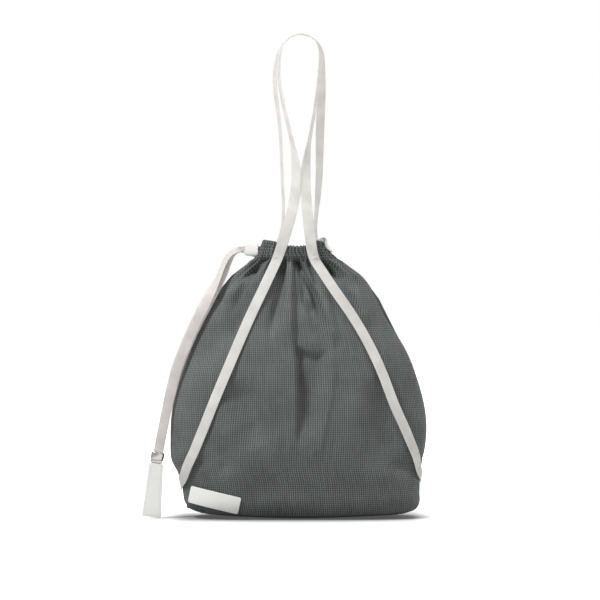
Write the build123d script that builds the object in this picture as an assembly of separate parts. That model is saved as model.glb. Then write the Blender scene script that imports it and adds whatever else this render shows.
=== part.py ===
"""Drawstring shoe bag, in millimetres, +Z up, front towards -Y.

Two mesh panels stand on a boxed base and are gathered at the top into a folded casing. A flat tape
runs round inside the casing, leaves it through a leather guide on the left and hangs down with a
metal slider and a leather pull tab. One webbing tape per face runs from the side seams up to two
bar tacks on the gather line, and its middle is the carrying handle.
"""
from build123d import *
from math import atan2, copysign, cos, pi, radians, sin, sqrt, tan
import os

# ---------------------------------------------------------------- driving dimensions
BELLY_WIDTH = 308.0          # widest part of the filled bag
BELLY_DEPTH = 142.0
GATHER_HEIGHT = 310.0        # stitch line under the casing
FABRIC = 1.6                 # mesh panel
TAPE_WIDTH = 12.0            # all webbing and the drawstring
TAPE_THICKNESS = 1.0
LEATHER = 1.8                # pull tab, guides and label
SOFT_GAP = 0.3               # air between soft pieces that move past each other

# gathered casing, measured on its outermost pleats
CASING_FOOT_WIDTH = 97.0     # at the gather line
CASING_TOP_WIDTH = 77.0
CASING_FOOT_DEPTH = 54.0
CASING_TOP_DEPTH = 51.0
CASING_LEAN = -5.0           # the neck stands a little left of the middle
CASING_MIDDLE_HEIGHT = 16.0  # above the gather line, between the handles
CASING_END_HEIGHT = 23.0     # at both ends, where the pleats stand up
CASING_PLY = 1.1             # folded hem, each ply
PLEATS = 34
PLEAT_POINTS = 4             # corners that draw each pleat
PLEAT_DEPTH = 2.4
CHANNEL_CLEARANCE = 0.35     # round the tape inside the casing
CHANNEL_FLOOR = 1.4          # stitching below the channel
CASING_SPLIT = 2.6           # opening between the two casings at each end

# seam allowances inside
SEAM_WIDTH = 8.0
SEAM_THICKNESS = 1.6
CORNER_SEAM_INSET = 8.0      # from the end of the flat base

# leather pieces
GUIDE_LENGTH = 14.0
GUIDE_HEIGHT = 18.0
GUIDE_WALL = 1.4
GUIDE_RISE = 3.5             # the drawstring ends climb this much on their way out
STAY_ARC = (-12.0, 52.0)     # degrees round the neck covered by the right-hand guide
LABEL_LENGTH = 61.5
LABEL_HEIGHT = 20.5
LABEL_CORNER = 2.2
LABEL_TILT = -12.6           # degrees in the front view
LABEL_PLACE = (-99.7, 21.8)  # its middle in the front view
TAB_LENGTH = 64.0
TAB_TOP_WIDTH = 17.0
TAB_FOOT_WIDTH = 23.0
TAB_CORNER = 1.6
TAB_TILT = 5.2               # degrees from upright
TAB_POCKET = 8.0             # tape end held between the two layers

# metal slider on the two hanging tapes
SLIDER_LENGTH = 9.0
SLIDER_WALL = 1.3
SLIDER_FILLET = 1.1
COLLAR_LENGTH = 3.2
COLLAR_WALL = 0.6

# webbing lines in the front view: from the bar tack to the side seam
TACK_LEFT = -24.5
TACK_RIGHT = 17.0
STRAP_LEFT = ((TACK_LEFT, 309.0), (-83.0, 178.0), (-129.0, 72.0), (-146.0, 30.0))
STRAP_RIGHT = ((TACK_RIGHT, 309.0), (50.0, 262.0), (94.0, 194.0), (120.0, 124.0), (150.0, 44.0))
STRAP_STAND = 0.25           # the webbing lies this far off the mesh

# handles: rows of side offset and height, from the left tack over the top to the right tack
HANDLE_FOOT = GATHER_HEIGHT + 1.4
HANDLE_TOP = 580.0
FRONT_LOOP = (
    (TACK_LEFT, HANDLE_FOOT), (-8.5, 364.0), (-2.6, 405.0), (-14.5, 479.0),
    (-22.9, 546.0), (2.6, HANDLE_TOP), (25.6, 546.0), (17.9, 479.0),
    (8.2, 405.0), (10.6, 364.0), (TACK_RIGHT, HANDLE_FOOT),
)
BACK_LOOP = (
    (TACK_LEFT, HANDLE_FOOT), (-18.7, 364.0), (-19.5, 405.0), (-23.6, 479.0),
    (-27.8, 543.0), (1.6, HANDLE_TOP), (29.4, 543.0), (26.4, 479.0),
    (24.6, 405.0), (21.3, 364.0), (TACK_RIGHT, HANDLE_FOOT),
)
# how far the tape has turned from facing front, in degrees, at shares of its length
FRONT_TURNS = ((0.0, 0.0), (0.14, 4.0), (0.26, 74.0), (0.40, 90.0),
               (0.60, 90.0), (0.74, 106.0), (0.86, 176.0), (1.0, 180.0))
BACK_TURNS = ((0.0, 0.0), (0.07, 80.0), (0.20, 90.0), (0.40, 90.0), (0.56, 90.0),
              (0.71, 150.0), (0.83, 130.0), (0.93, 110.0), (1.0, 180.0))
HANDLE_STATIONS = 30

# hanging drawstring, from its turning point outside the guide: x, y, z
TAIL_CLEAR = SOFT_GAP
TAIL_FRONT = ((-79.5, -2.0, 319.0), (-89.5, -8.0, 306.0), (-95.0, -15.0, 288.0),
              (-113.0, -24.5, 254.0), (-140.2, -24.5, 195.0), (-154.3, -22.0, 149.0))
TAIL_BACK = ((-77.5, 0.0, 319.5), (-84.0, -4.5, 305.5), (-88.5, -11.5, 288.5),
             (-110.5, -21.5, 255.0), (-139.0, -23.0, 195.5), (-154.3, -22.0, 149.0))
TAB_TOP = (-169.9, -22.0, 65.6)
CORNER_SHARE = 0.45          # part of the shorter run that each bend takes

# body form at rising stations: share of the gather height, of the belly width and of its depth,
# squareness of the outline, and sideways lean in millimetres
FORM = (
    (0.000, 0.815, 0.700, 3.2, 2.0),
    (0.030, 0.890, 0.810, 3.2, 2.2),
    (0.110, 0.929, 0.890, 2.9, 2.5),
    (0.225, 0.980, 0.970, 2.6, -0.6),
    (0.335, 1.000, 1.000, 2.5, 0.0),
    (0.450, 0.981, 0.965, 2.4, 0.4),
    (0.592, 0.902, 0.860, 2.2, -0.6),
    (0.728, 0.782, 0.725, 2.1, -4.0),
    (0.845, 0.662, 0.600, 2.0, -3.6),
    (0.935, 0.517, 0.490, 2.0, -2.4),
    (1.000, 0.335, 0.378, 2.0, -4.0),
)
RING_POINTS = 60
RING_START = 3.0             # degrees, keeps the corners of each outline off the side seams
ROOM = 400.0                 # half size of the cutting blocks


# ---------------------------------------------------------------- helpers
def superellipse(angle, half_width, half_depth, squareness):
    """Point of a rounded outline: each coordinate is a power of its cosine or sine."""
    c, s = cos(angle), sin(angle)
    power = 2 / squareness
    return (half_width * copysign(abs(c) ** power, c), half_depth * copysign(abs(s) ** power, s))


def closed_face(points):
    return make_face(Polyline(*points, close=True))


def body_form(offset, lift=0.0):
    """Solid through the stations of the body, its walls moved out by offset."""
    faces = []
    for share, width, depth, squareness, lean in FORM:
        z = share * GATHER_HEIGHT
        z = max(z, lift)
        points = []
        for i in range(RING_POINTS):
            angle = radians(RING_START) + 2 * pi * i / RING_POINTS
            x, y = superellipse(angle, width * BELLY_WIDTH / 2 + offset,
                                depth * BELLY_DEPTH / 2 + offset, squareness)
            points.append((x + lean, y, z))
        faces.append(closed_face(points))
    return loft(faces, ruled=True)


def block(x_low, x_high, y_low, y_high, z_low, z_high):
    size = (x_high - x_low, y_high - y_low, z_high - z_low)
    middle = ((x_low + x_high) / 2, (y_low + y_high) / 2, (z_low + z_high) / 2)
    return Pos(*middle) * Box(*size)


FRONT_HALF = block(-ROOM, ROOM, -ROOM, 0, -ROOM, 2 * ROOM)
BACK_HALF = block(-ROOM, ROOM, 0, ROOM, -ROOM, 2 * ROOM)


def neck_outline(height, offset, ripple, squareness=2.0):
    """Outline round the casing at a height over the gather line, with its pleats as a ripple."""
    share = height / CASING_END_HEIGHT
    half_width = (CASING_FOOT_WIDTH * (1 - share) + CASING_TOP_WIDTH * share) / 2 + offset
    half_depth = (CASING_FOOT_DEPTH * (1 - share) + CASING_TOP_DEPTH * share) / 2 + offset
    count = PLEATS * PLEAT_POINTS if ripple else RING_POINTS
    points = []
    for i in range(count):
        angle = radians(RING_START) + 2 * pi * i / count
        uneven = 0.75 + 0.25 * sin(3 * angle + 0.8)
        push = ripple * uneven * (0.5 + 0.5 * cos(PLEATS * angle))
        x, y = superellipse(angle, half_width + push, half_depth + push, squareness)
        points.append((x + CASING_LEAN, y, GATHER_HEIGHT + height))
    return closed_face(points)


def neck_form(offset, ripple, low, high):
    return loft([neck_outline(low, offset, ripple), neck_outline(high, offset, ripple)], ruled=True)


def mirrored(part):
    return mirror(part, about=Plane.XZ)


# ---------------------------------------------------------------- panels and seams
OUTER = body_form(0.0)
INNER = body_form(-FABRIC, FABRIC)
SEAM_CORE = body_form(-FABRIC - SEAM_WIDTH, FABRIC + SEAM_WIDTH)


def panels():
    shell = OUTER - INNER
    return shell & FRONT_HALF, shell & BACK_HALF


def seams():
    """Bound seam allowances that stand into the bag along the sides, base and base corners."""
    half = SEAM_THICKNESS / 2
    base_top = FABRIC + SEAM_WIDTH
    base_middle = FORM[0][4]
    corner_reach = FORM[0][1] * BELLY_WIDTH / 2 - CORNER_SEAM_INSET
    side = (INNER & block(-ROOM, ROOM, -half, half, base_top + 1, GATHER_HEIGHT - 1)) - SEAM_CORE
    left = side & block(-ROOM, 0, -ROOM, ROOM, 0, ROOM)
    right = side & block(0, ROOM, -ROOM, ROOM, 0, ROOM)
    run = corner_reach - SEAM_THICKNESS
    base = INNER & block(base_middle - run, base_middle + run, -half, half, 0, base_top)
    corners = []
    for centre in (base_middle - corner_reach, base_middle + corner_reach):
        slab = block(centre - half, centre + half, -ROOM, ROOM, 0, base_top)
        corners.append(INNER & slab)
    return left, right, base, corners[0], corners[1]


# ---------------------------------------------------------------- casing and drawstring
PLEAT_OUT = -PLEAT_DEPTH
CHANNEL_HALF = TAPE_THICKNESS / 2 + CHANNEL_CLEARANCE
TAPE_LINE = PLEAT_OUT - CASING_PLY - CHANNEL_HALF
INNER_FACE = TAPE_LINE - CHANNEL_HALF - CASING_PLY - PLEAT_DEPTH
CHANNEL_TOP = CHANNEL_FLOOR + TAPE_WIDTH + 2 * CHANNEL_CLEARANCE


def casing_crown():
    """Side view of the casing: low between the handles, high at the ends."""
    low, high = GATHER_HEIGHT + CASING_MIDDLE_HEIGHT, GATHER_HEIGHT + CASING_END_HEIGHT
    reach = CASING_FOOT_WIDTH
    left, right = CASING_LEAN - reach, CASING_LEAN + reach
    valley = CASING_TOP_WIDTH / 2
    top = Spline((left, high), (CASING_LEAN - valley, high - 0.6), (CASING_LEAN - valley / 2, low + 1),
                 (CASING_LEAN, low), (CASING_LEAN + valley / 2, low + 1),
                 (CASING_LEAN + valley, high - 0.6), (right, high))
    rest = Polyline((right, high), (right, GATHER_HEIGHT), (left, GATHER_HEIGHT), (left, high))
    return extrude(Plane.XZ * make_face(top + rest), ROOM, both=True)


def casings():
    top = CASING_END_HEIGHT
    outer = neck_form(PLEAT_OUT, PLEAT_DEPTH, 0, top)
    hollow = neck_form(INNER_FACE, PLEAT_DEPTH, -1, top + 1)
    channel = neck_form(TAPE_LINE + CHANNEL_HALF, 0, CHANNEL_FLOOR, CHANNEL_TOP)
    channel -= neck_form(TAPE_LINE - CHANNEL_HALF, 0, CHANNEL_FLOOR, CHANNEL_TOP)
    ring = ((outer - hollow) & casing_crown()) - channel
    half = CASING_SPLIT / 2
    front = ring & block(-ROOM, ROOM, -ROOM, -half, 0, 2 * ROOM)
    back = ring & block(-ROOM, ROOM, half, ROOM, 0, 2 * ROOM)
    return front, back


GUIDE_INNER_X = CASING_LEAN - CASING_FOOT_WIDTH / 2 + 3.5
GUIDE_OUTER_X = GUIDE_INNER_X - GUIDE_LENGTH
TAPE_FOOT = GATHER_HEIGHT + CHANNEL_FLOOR + CHANNEL_CLEARANCE
EXIT_Z = TAPE_FOOT + TAPE_WIDTH / 2 + GUIDE_RISE
PAIR_HALF = TAPE_THICKNESS + SOFT_GAP / 2      # two tapes face to face with a little air


def drawstring_run():
    """Tape round the neck inside the channel; both ends turn out through the left guide."""
    low, high = CHANNEL_FLOOR + CHANNEL_CLEARANCE, CHANNEL_FLOOR + CHANNEL_CLEARANCE + TAPE_WIDTH
    ring = neck_form(TAPE_LINE + TAPE_THICKNESS / 2, 0, low, high)
    ring -= neck_form(TAPE_LINE - TAPE_THICKNESS / 2, 0, low, high)
    ring -= block(-ROOM, CASING_LEAN, -SOFT_GAP / 2, SOFT_GAP / 2, 0, 2 * ROOM)
    inside = CASING_LEAN - CASING_TOP_WIDTH / 2 - TAPE_LINE + 2
    low_z, high_z = EXIT_Z - TAPE_WIDTH / 2, EXIT_Z + TAPE_WIDTH / 2
    for side in (-1, 1):
        near, far = sorted((side * SOFT_GAP / 2, side * PAIR_HALF))
        ring += block(GUIDE_OUTER_X, inside, near, far, low_z, high_z)
    return ring


def cord_guide_left():
    """Folded leather sleeve on the end of the casing, with a slot for the two tapes."""
    slot_y = PAIR_HALF + CHANNEL_CLEARANCE
    slot_z = TAPE_WIDTH / 2 + CHANNEL_CLEARANCE
    sleeve = block(GUIDE_OUTER_X, GUIDE_INNER_X, -slot_y - GUIDE_WALL, slot_y + GUIDE_WALL,
                   EXIT_Z - GUIDE_HEIGHT / 2, EXIT_Z + GUIDE_HEIGHT / 2)
    sleeve = fillet(sleeve.edges().filter_by(Axis.X), GUIDE_WALL)
    sleeve -= block(GUIDE_OUTER_X - 1, GUIDE_INNER_X + 1, -slot_y, slot_y,
                    EXIT_Z - slot_z, EXIT_Z + slot_z)
    return sleeve - neck_form(PLEAT_OUT + SOFT_GAP, PLEAT_DEPTH, 0, CASING_END_HEIGHT)


def cord_guide_right():
    """Curved leather stay hugging the right end of the casing, open at the top and foot."""
    clear = PLEAT_OUT + PLEAT_DEPTH + SOFT_GAP
    low, high = 2.0, 2.0 + GUIDE_HEIGHT
    band = neck_form(clear + LEATHER, 0, low, high) - neck_form(clear, 0, low, high)
    start, end = (radians(a) for a in STAY_ARC)
    wedge = Polyline((CASING_LEAN, 0), (CASING_LEAN + ROOM * cos(start), ROOM * sin(start)),
                     (CASING_LEAN + ROOM, ROOM), (CASING_LEAN + ROOM * cos(end), ROOM * sin(end)),
                     (CASING_LEAN, 0))
    return band & extrude(make_face(wedge), 2 * ROOM)


# ---------------------------------------------------------------- webbing on the body
LAYER_LOW = body_form(STRAP_STAND)
LAYER_HIGH = body_form(STRAP_STAND + TAPE_THICKNESS)
LABEL_HIGH = body_form(STRAP_STAND + LEATHER)


def on_front(outline, high):
    """The part of a thin layer over the body that lies behind an outline in the front view."""
    prism = extrude(Plane.XZ * outline, ROOM)
    return (high & prism) - LAYER_LOW


def strap(points):
    line = Spline(*[(x, z) for x, z in points])
    return on_front(trace(line, TAPE_WIDTH), LAYER_HIGH)


def label_patch():
    patch = RectangleRounded(LABEL_LENGTH, LABEL_HEIGHT, LABEL_CORNER)
    return on_front(Pos(*LABEL_PLACE) * Rot(0, 0, LABEL_TILT) * patch, LABEL_HIGH)


# ---------------------------------------------------------------- handles
TACK_INNER = min(abs(TACK_LEFT - CASING_LEAN), abs(TACK_RIGHT - CASING_LEAN)) - TAPE_WIDTH / 2
CASING_AT_TACK = CASING_FOOT_DEPTH / 2 * sqrt(1 - (2 * TACK_INNER / CASING_FOOT_WIDTH) ** 2)
CASING_FRONT = CASING_AT_TACK + SOFT_GAP + TAPE_THICKNESS / 2
HANDLE_SHOULDER = GATHER_HEIGHT + CASING_END_HEIGHT
HANDLE_TOP_Y = TAPE_WIDTH / 2 + SOFT_GAP


def handle_depth(z):
    """Upright in front of the casing, then leaning in until the two loops stand side by side."""
    share = max(0.0, (z - HANDLE_SHOULDER) / (HANDLE_TOP - HANDLE_SHOULDER))
    return -CASING_FRONT + share * (CASING_FRONT - HANDLE_TOP_Y)


def turn_at(share, turns):
    for (s0, t0), (s1, t1) in zip(turns, turns[1:]):
        if share <= s1:
            part = (share - s0) / (s1 - s0)
            return t0 + (t1 - t0) * part * part * (3 - 2 * part)
    return turns[-1][1]


def handle(loop, turns):
    """Flat tape carried along a loop, its width turning as the loop rises."""
    line = Spline(*[(x, handle_depth(z), z) for x, z in loop])
    faces = []
    for i in range(HANDLE_STATIONS + 1):
        share = i / HANDLE_STATIONS
        along = line % share
        turn = radians(turn_at(share, turns))
        across = Vector(cos(turn), -sin(turn), 0)
        across = across - along * across.dot(along)
        faces.append(Plane(line @ share, x_dir=across, z_dir=along)
                     * Rectangle(TAPE_WIDTH, TAPE_THICKNESS))
    middle = HANDLE_STATIONS // 2
    return loft(faces[:middle + 1], ruled=True) + loft(faces[middle:], ruled=True)


# ---------------------------------------------------------------- hanging drawstring
TAIL_PIVOT = (GUIDE_OUTER_X - TAIL_CLEAR - TAPE_WIDTH / 2, EXIT_Z)
TAIL_END_SHIFT = TAB_POCKET / (TAIL_FRONT[-1][2] - TAB_TOP[2])


def tail_route(side, points):
    """Points of one tape, side being -1 for the front one, ending inside the pull tab."""
    shift = side * PAIR_HALF / 2 + side * SOFT_GAP / 4
    last = points[-1]
    end = [b + (b - a) * TAIL_END_SHIFT for a, b in zip(last, TAB_TOP)]
    route = [(TAIL_PIVOT[0], 0.0, TAIL_PIVOT[1]), *points, tuple(end)]
    return [Vector(x, y + shift, z) for x, y, z in route]


def bend_radii(route):
    """Each bend takes the same share of the shorter of its two runs."""
    radii = []
    for a, b, c in zip(route, route[1:], route[2:]):
        turn = radians((b - a).get_angle(c - b))
        radii.append(CORNER_SHARE * min((b - a).length, (c - b).length) / tan(turn / 2))
    return radii


def tail_tape(side, points):
    route = tail_route(side, points)
    radii = bend_radii(route)
    path = FilletPolyline(*route, radius=radii)
    section = Plane(path @ 0, x_dir=(0, 1, 0), z_dir=path % 0) * Rectangle(TAPE_THICKNESS, TAPE_WIDTH)
    behind = Wire(path.edges()).moved(Location((0, TAPE_WIDTH, 0)))     # keeps the tape untwisted
    tape = sweep(section, path=path, binormal=behind)
    start = Plane(route[0], x_dir=(1, 0, 0), z_dir=(0, 1, 0))
    tape += extrude(start * Circle(TAPE_WIDTH / 2), TAPE_THICKNESS / 2, both=True)
    expected = path.length * TAPE_WIDTH * TAPE_THICKNESS
    print("tape", "front" if side < 0 else "back", "length", round(path.length, 1),
          "volume ratio", round(tape.volume / expected, 3), "radii", [round(r) for r in radii])
    return tape


def along_tail():
    """Frame at the top of the pull tab: x across the tape, y up along it, z to the front."""
    above = Vector(*TAIL_FRONT[-1])
    top = Vector(*TAB_TOP)
    up = (above - top).normalized()
    across = up.cross(Vector(0, -1, 0)).normalized()
    return Plane(top, x_dir=across, z_dir=(0, -1, 0))


def cord_slider():
    """Flat metal bead with a short collar below it and a slot for the two tapes."""
    frame = along_tail()
    slot_width = TAPE_WIDTH + 2 * SOFT_GAP
    slot_depth = 2 * PAIR_HALF + 2 * SOFT_GAP
    lean = atan2(TAIL_FRONT[-1][0] - TAB_TOP[0], TAIL_FRONT[-1][2] - TAB_TOP[2])
    foot = SOFT_GAP + TAB_TOP_WIDTH / 2 * tan(lean - radians(TAB_TILT))
    collar = Box(slot_width + 2 * COLLAR_WALL, COLLAR_LENGTH, slot_depth + 2 * COLLAR_WALL)
    collar = fillet(collar.edges().filter_by(Axis.Y), COLLAR_WALL)
    bead = Box(slot_width + 2 * SLIDER_WALL, SLIDER_LENGTH, slot_depth + 2 * SLIDER_WALL)
    bead = fillet(bead.edges(), SLIDER_FILLET)
    body = Pos(0, foot + COLLAR_LENGTH / 2, 0) * collar
    body += Pos(0, foot + COLLAR_LENGTH + SLIDER_LENGTH / 2, 0) * bead
    body -= Box(slot_width, 3 * (SLIDER_LENGTH + COLLAR_LENGTH), slot_depth)
    return frame * body


def pull_tab(side):
    """One leather layer of the tab, recessed for the tape ends; side -1 is the front one."""
    tilt = Plane(Vector(*TAB_TOP), x_dir=(1, 0, 0), z_dir=(0, -1, 0)) * Rot(0, 0, -TAB_TILT)
    top, foot = TAB_TOP_WIDTH / 2, TAB_FOOT_WIDTH / 2
    outline = make_face(Polyline((-top, 0), (top, 0), (foot, -TAB_LENGTH), (-foot, -TAB_LENGTH),
                                 close=True))
    outline = fillet(outline.vertices(), TAB_CORNER)
    layer = tilt * extrude(outline, -side * LEATHER)
    pocket = Box(TAPE_WIDTH + 2 * SOFT_GAP, 2 * TAB_POCKET + 2 * SOFT_GAP, 2 * PAIR_HALF)
    return layer - along_tail() * pocket


# ---------------------------------------------------------------- files
def main():
    front_panel, back_panel = panels()
    side_left, side_right, base_seam, corner_left, corner_right = seams()
    front_casing, back_casing = casings()
    strap_left, strap_right = strap(STRAP_LEFT), strap(STRAP_RIGHT)
    pieces = {
        "front_panel": front_panel,
        "back_panel": back_panel,
        "side_seam_left": side_left,
        "side_seam_right": side_right,
        "base_seam": base_seam,
        "corner_seam_left": corner_left,
        "corner_seam_right": corner_right,
        "front_casing": front_casing,
        "back_casing": back_casing,
        "drawstring_run": drawstring_run(),
        "cord_guide_left": cord_guide_left(),
        "cord_guide_right": cord_guide_right(),
        "strap_front_left": strap_left,
        "strap_front_right": strap_right,
        "strap_back_left": mirrored(strap_left),
        "strap_back_right": mirrored(strap_right),
        "label_patch": label_patch(),
        "front_handle": handle(FRONT_LOOP, FRONT_TURNS),
        "back_handle": mirrored(handle(BACK_LOOP, BACK_TURNS)),
        "tail_tape_front": tail_tape(-1, TAIL_FRONT),
        "tail_tape_back": tail_tape(1, TAIL_BACK),
        "cord_slider": cord_slider(),
        "pull_tab_front": pull_tab(-1),
        "pull_tab_back": pull_tab(1),
    }
    os.makedirs("parts", exist_ok=True)
    for name, part in pieces.items():
        export_step(part, f"parts/{name}.step")


main()
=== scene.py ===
"""Drawstring shoe bag of grey polyester mesh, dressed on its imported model, in metres, +Z up.

Shapes are worked out in millimetres as whole arrays, on grids of two parameters, and turned to
metres where they become meshes. x runs to the right, y to the back, z up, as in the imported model.
"""
from math import pi, radians

import bmesh
import bpy
import numpy as np
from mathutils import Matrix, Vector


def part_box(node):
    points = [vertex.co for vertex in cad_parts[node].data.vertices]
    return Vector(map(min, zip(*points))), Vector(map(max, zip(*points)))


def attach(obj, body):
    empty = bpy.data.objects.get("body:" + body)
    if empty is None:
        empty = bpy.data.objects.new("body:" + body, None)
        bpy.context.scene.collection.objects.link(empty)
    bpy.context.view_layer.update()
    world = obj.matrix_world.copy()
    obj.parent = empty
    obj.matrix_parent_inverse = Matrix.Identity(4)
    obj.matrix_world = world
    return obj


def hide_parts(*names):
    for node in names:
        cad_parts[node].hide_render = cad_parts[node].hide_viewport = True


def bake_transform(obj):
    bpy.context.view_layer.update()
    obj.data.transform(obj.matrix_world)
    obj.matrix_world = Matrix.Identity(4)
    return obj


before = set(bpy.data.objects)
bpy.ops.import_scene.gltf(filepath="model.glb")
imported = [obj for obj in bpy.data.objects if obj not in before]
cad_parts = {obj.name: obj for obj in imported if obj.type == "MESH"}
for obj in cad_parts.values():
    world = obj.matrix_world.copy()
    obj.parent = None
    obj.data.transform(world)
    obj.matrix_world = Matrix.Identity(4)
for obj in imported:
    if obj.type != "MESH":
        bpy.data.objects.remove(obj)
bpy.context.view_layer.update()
MM = 0.001

# ---------------------------------------------------------------- sizes, in millimetres
GATHER = 310.0               # stitch line under the casing
TAPE_WIDTH = 12.8
TAPE_THICKNESS = 1.0
CLOTH_THICKNESS = 0.5
MESH_PITCH = 2.6             # from one hole of the mesh to the next
CLOTH_WIDTH = 372.0          # one panel, seam to seam
PLEATS = 21                  # on each panel
CASING_ROLL = 3.1            # radius of the casing's folded top edge
LABEL_SIZE = (61.5, 20.5)
LABEL_PLACE = (-99.7, 23.4)
LABEL_TILT = -12.6
TAB_TOP = (-169.9, -22.0, 65.6)
TAB_LENGTH = 64.0
TAB_WIDTHS = (17.0, 23.0)
TAB_TILT = 5.2
LEATHER = 1.8
EXIT_HEIGHT = 321.25
GUIDE_SPAN = (-64.5, -48.5)
BUNCHED = 0.55               # share of its width that the drawstring keeps at the guide's mouth
# how far the hanging tapes turn on edge, as shares of the most, at distances from the guide
TWIST_AT = (0.0, 3.0, 9.0, 28.0, 50.0, 88.0, 400.0)
TWIST = (0.1, 0.45, 1.0, 1.0, 0.95, 0.0, 0.0)

# height, reach to the left, reach to the right, and half depth of the filled bag
BODY = np.array([
    (0, -118, 126, 47), (2.5, -127, 136, 51.5), (7, -132.5, 142.5, 55.5),
    (14, -136.5, 145.4, 59), (24, -138.6, 145.7, 62), (34, -139.8, 146, 63.5),
    (46, -142.5, 146.3, 65.5), (60, -150, 148, 67.5), (78, -154, 151.6, 69.5),
    (97, -154.3, 154, 70.7), (118, -153.6, 154, 71), (137, -150.6, 151.6, 70),
    (158, -146, 146.3, 67.5), (180, -139.9, 139, 64), (202, -133.6, 130, 59.5),
    (223, -125.6, 117.5, 55), (245, -116.2, 105, 49.5), (259, -107, 98.5, 45.5),
    (273.6, -95.4, 90, 41), (288, -83, 79.5, 35.5), (295, -75.5, 71.4, 32.5),
    (302, -66.2, 60.6, 29.5), (306, -61, 54.5, 28), (310, -55.8, 49, 26.6),
    (313, -52.5, 45.5, 26.8), (318, -50, 40, 26.6), (324, -47.4, 34.6, 26),
    (329, -45, 32.5, 25.6), (336, -43, 31, 25.2),
])
SQUARENESS = ((0, 60, 150, 250, 340), (3.1, 2.7, 2.35, 2.05, 2))

# top edge of the casing along x: it stands up at both ends
CROWN_X = (-53, -44, -31, -24, -14, 0, 8, 14, 20, 27, 32, 46)
CROWN_Z = (331, 332.4, 330.8, 328.5, 325.8, 325, 325.6, 328.2, 331.8, 331.6, 329.6, 326)

# webbing on the body in the front view, down from the bar tack: x, z. It ends in the side seam
TACK_LEFT = (-24.5, 311.4)
TACK_RIGHT = (17, 311.4)
STRAP_LEFT = (TACK_LEFT, (-36.2, 285.8), (-49.8, 257.4), (-64.4, 225.6), (-79.8, 189.5), (-95.2, 152.8),
              (-106.8, 124), (-114, 105.6), (-120, 91.2), (-125.7, 77), (-131, 66), (-135.5, 54.5),
              (-138.6, 44))
STRAP_RIGHT = (TACK_RIGHT, (26.2, 297.4), (38.8, 278.4), (50.6, 261.6), (62.2, 244.8), (79.6, 216),
               (92.5, 190.5), (104.5, 162), (114.8, 134.4), (127.8, 105.6), (133.8, 91.2), (139.2, 78),
               (142.6, 66), (143.6, 56))
SEAM_END_LEFT = (-3, 37)         # distance from the seam and height of the end of the tape
SEAM_END_RIGHT = (-3, 43)

# handle loops, from the left bar tack over the top to the right one: x, z
HANDLE_TOP = 580.0
FRONT_LOOP = (TACK_LEFT, (-8.5, 364), (-2.6, 405), (-14.5, 479), (-22.9, 546), (-14.6, 571.5),
              (2.6, HANDLE_TOP), (20.4, 571.5), (25.6, 546), (17.9, 479), (8.2, 405), (10.6, 364),
              TACK_RIGHT)
BACK_LOOP = (TACK_LEFT, (-21.5, 330), (-18.4, 364), (-19.5, 405), (-23.6, 479), (-27.8, 543),
             (-17.2, 571), (1.6, HANDLE_TOP), (22.4, 571), (29.4, 543), (26.4, 479), (24.6, 405),
             (21.3, 364), TACK_RIGHT)
# how far the tape has turned from facing front, in degrees, at shares of the loop's length
FRONT_TURNS = ((0, 0.14, 0.26, 0.38, 0.50, 0.62, 0.74, 0.86, 1),
               (0, 4, 70, 74, 90, 108, 108, 176, 180))
BACK_TURNS = ((0, 0.07, 0.20, 0.38, 0.48, 0.58, 0.71, 0.83, 0.93, 1),
              (0, -76, -76, -68, -88, -112, -146, -130, -110, -180))
HANDLE_SHOULDER = (333, 26.7)      # height up to which the tape stands this far in front
HANDLE_TOP_Y = 6.3

# hanging drawstring, front tape and back tape, from the leather guide into the pull tab, in metres
TAIL_FRONT = ((-0.0703, -0.0007, 0.32125), (-0.0795, -0.0027, 0.3190), (-0.0895, -0.0087, 0.3060),
              (-0.0950, -0.0157, 0.2880), (-0.1130, -0.0252, 0.2540), (-0.1402, -0.0252, 0.1950),
              (-0.1543, -0.0227, 0.1490), (-0.1714, -0.0227, 0.0576))
TAIL_BACK = ((-0.0703, 0.0007, 0.32125), (-0.0775, 0.0007, 0.3195), (-0.0840, -0.0038, 0.3055),
             (-0.0885, -0.0108, 0.2885), (-0.1105, -0.0208, 0.2550), (-0.1390, -0.0223, 0.1955),
             (-0.1543, -0.0213, 0.1490), (-0.1714, -0.0213, 0.0576))

# eye of the front view that routes and folds are drawn in: its distance, and its x and height, in metres
CAMERA_DISTANCE = 4.0
CAMERA_PLACE = (0.0018, 0.2606)


# ---------------------------------------------------------------- curves and grids
def cubic(knots, values, at):
    """Natural cubic spline through the rows of values at rising knots, read at the places in at."""
    knots, values = np.asarray(knots, float), np.asarray(values, float)
    gaps = np.diff(knots)
    slopes = np.diff(values, axis=0) / gaps[:, None]
    count = len(knots)
    system, right = np.zeros((count, count)), np.zeros_like(values)
    inner = np.arange(1, count - 1)
    system[0, 0] = system[-1, -1] = 1
    system[inner, inner - 1] = gaps[:-1]
    system[inner, inner] = 2 * (gaps[:-1] + gaps[1:])
    system[inner, inner + 1] = gaps[1:]
    right[1:-1] = 6 * np.diff(slopes, axis=0)
    bend = np.linalg.solve(system, right)
    span = np.clip(np.searchsorted(knots, at) - 1, 0, count - 2)
    gap = gaps[span][:, None]
    near = (knots[span + 1] - at)[:, None] / gap
    far = 1 - near
    curved = (near**3 - near) * bend[span] + (far**3 - far) * bend[span + 1]
    return near * values[span] + far * values[span + 1] + curved * gap**2 / 6


def lengths(line):
    """Distance travelled along a line of points, starting at 0."""
    steps = np.linalg.norm(np.diff(line, axis=0), axis=1)
    return np.concatenate([[0], np.cumsum(steps)])


def evenly(line, count):
    """The same line with count points at equal distances."""
    far = lengths(line)
    at = np.linspace(0, far[-1], count)
    return np.stack([np.interp(at, far, line[:, i]) for i in range(line.shape[1])], axis=1)


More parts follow.
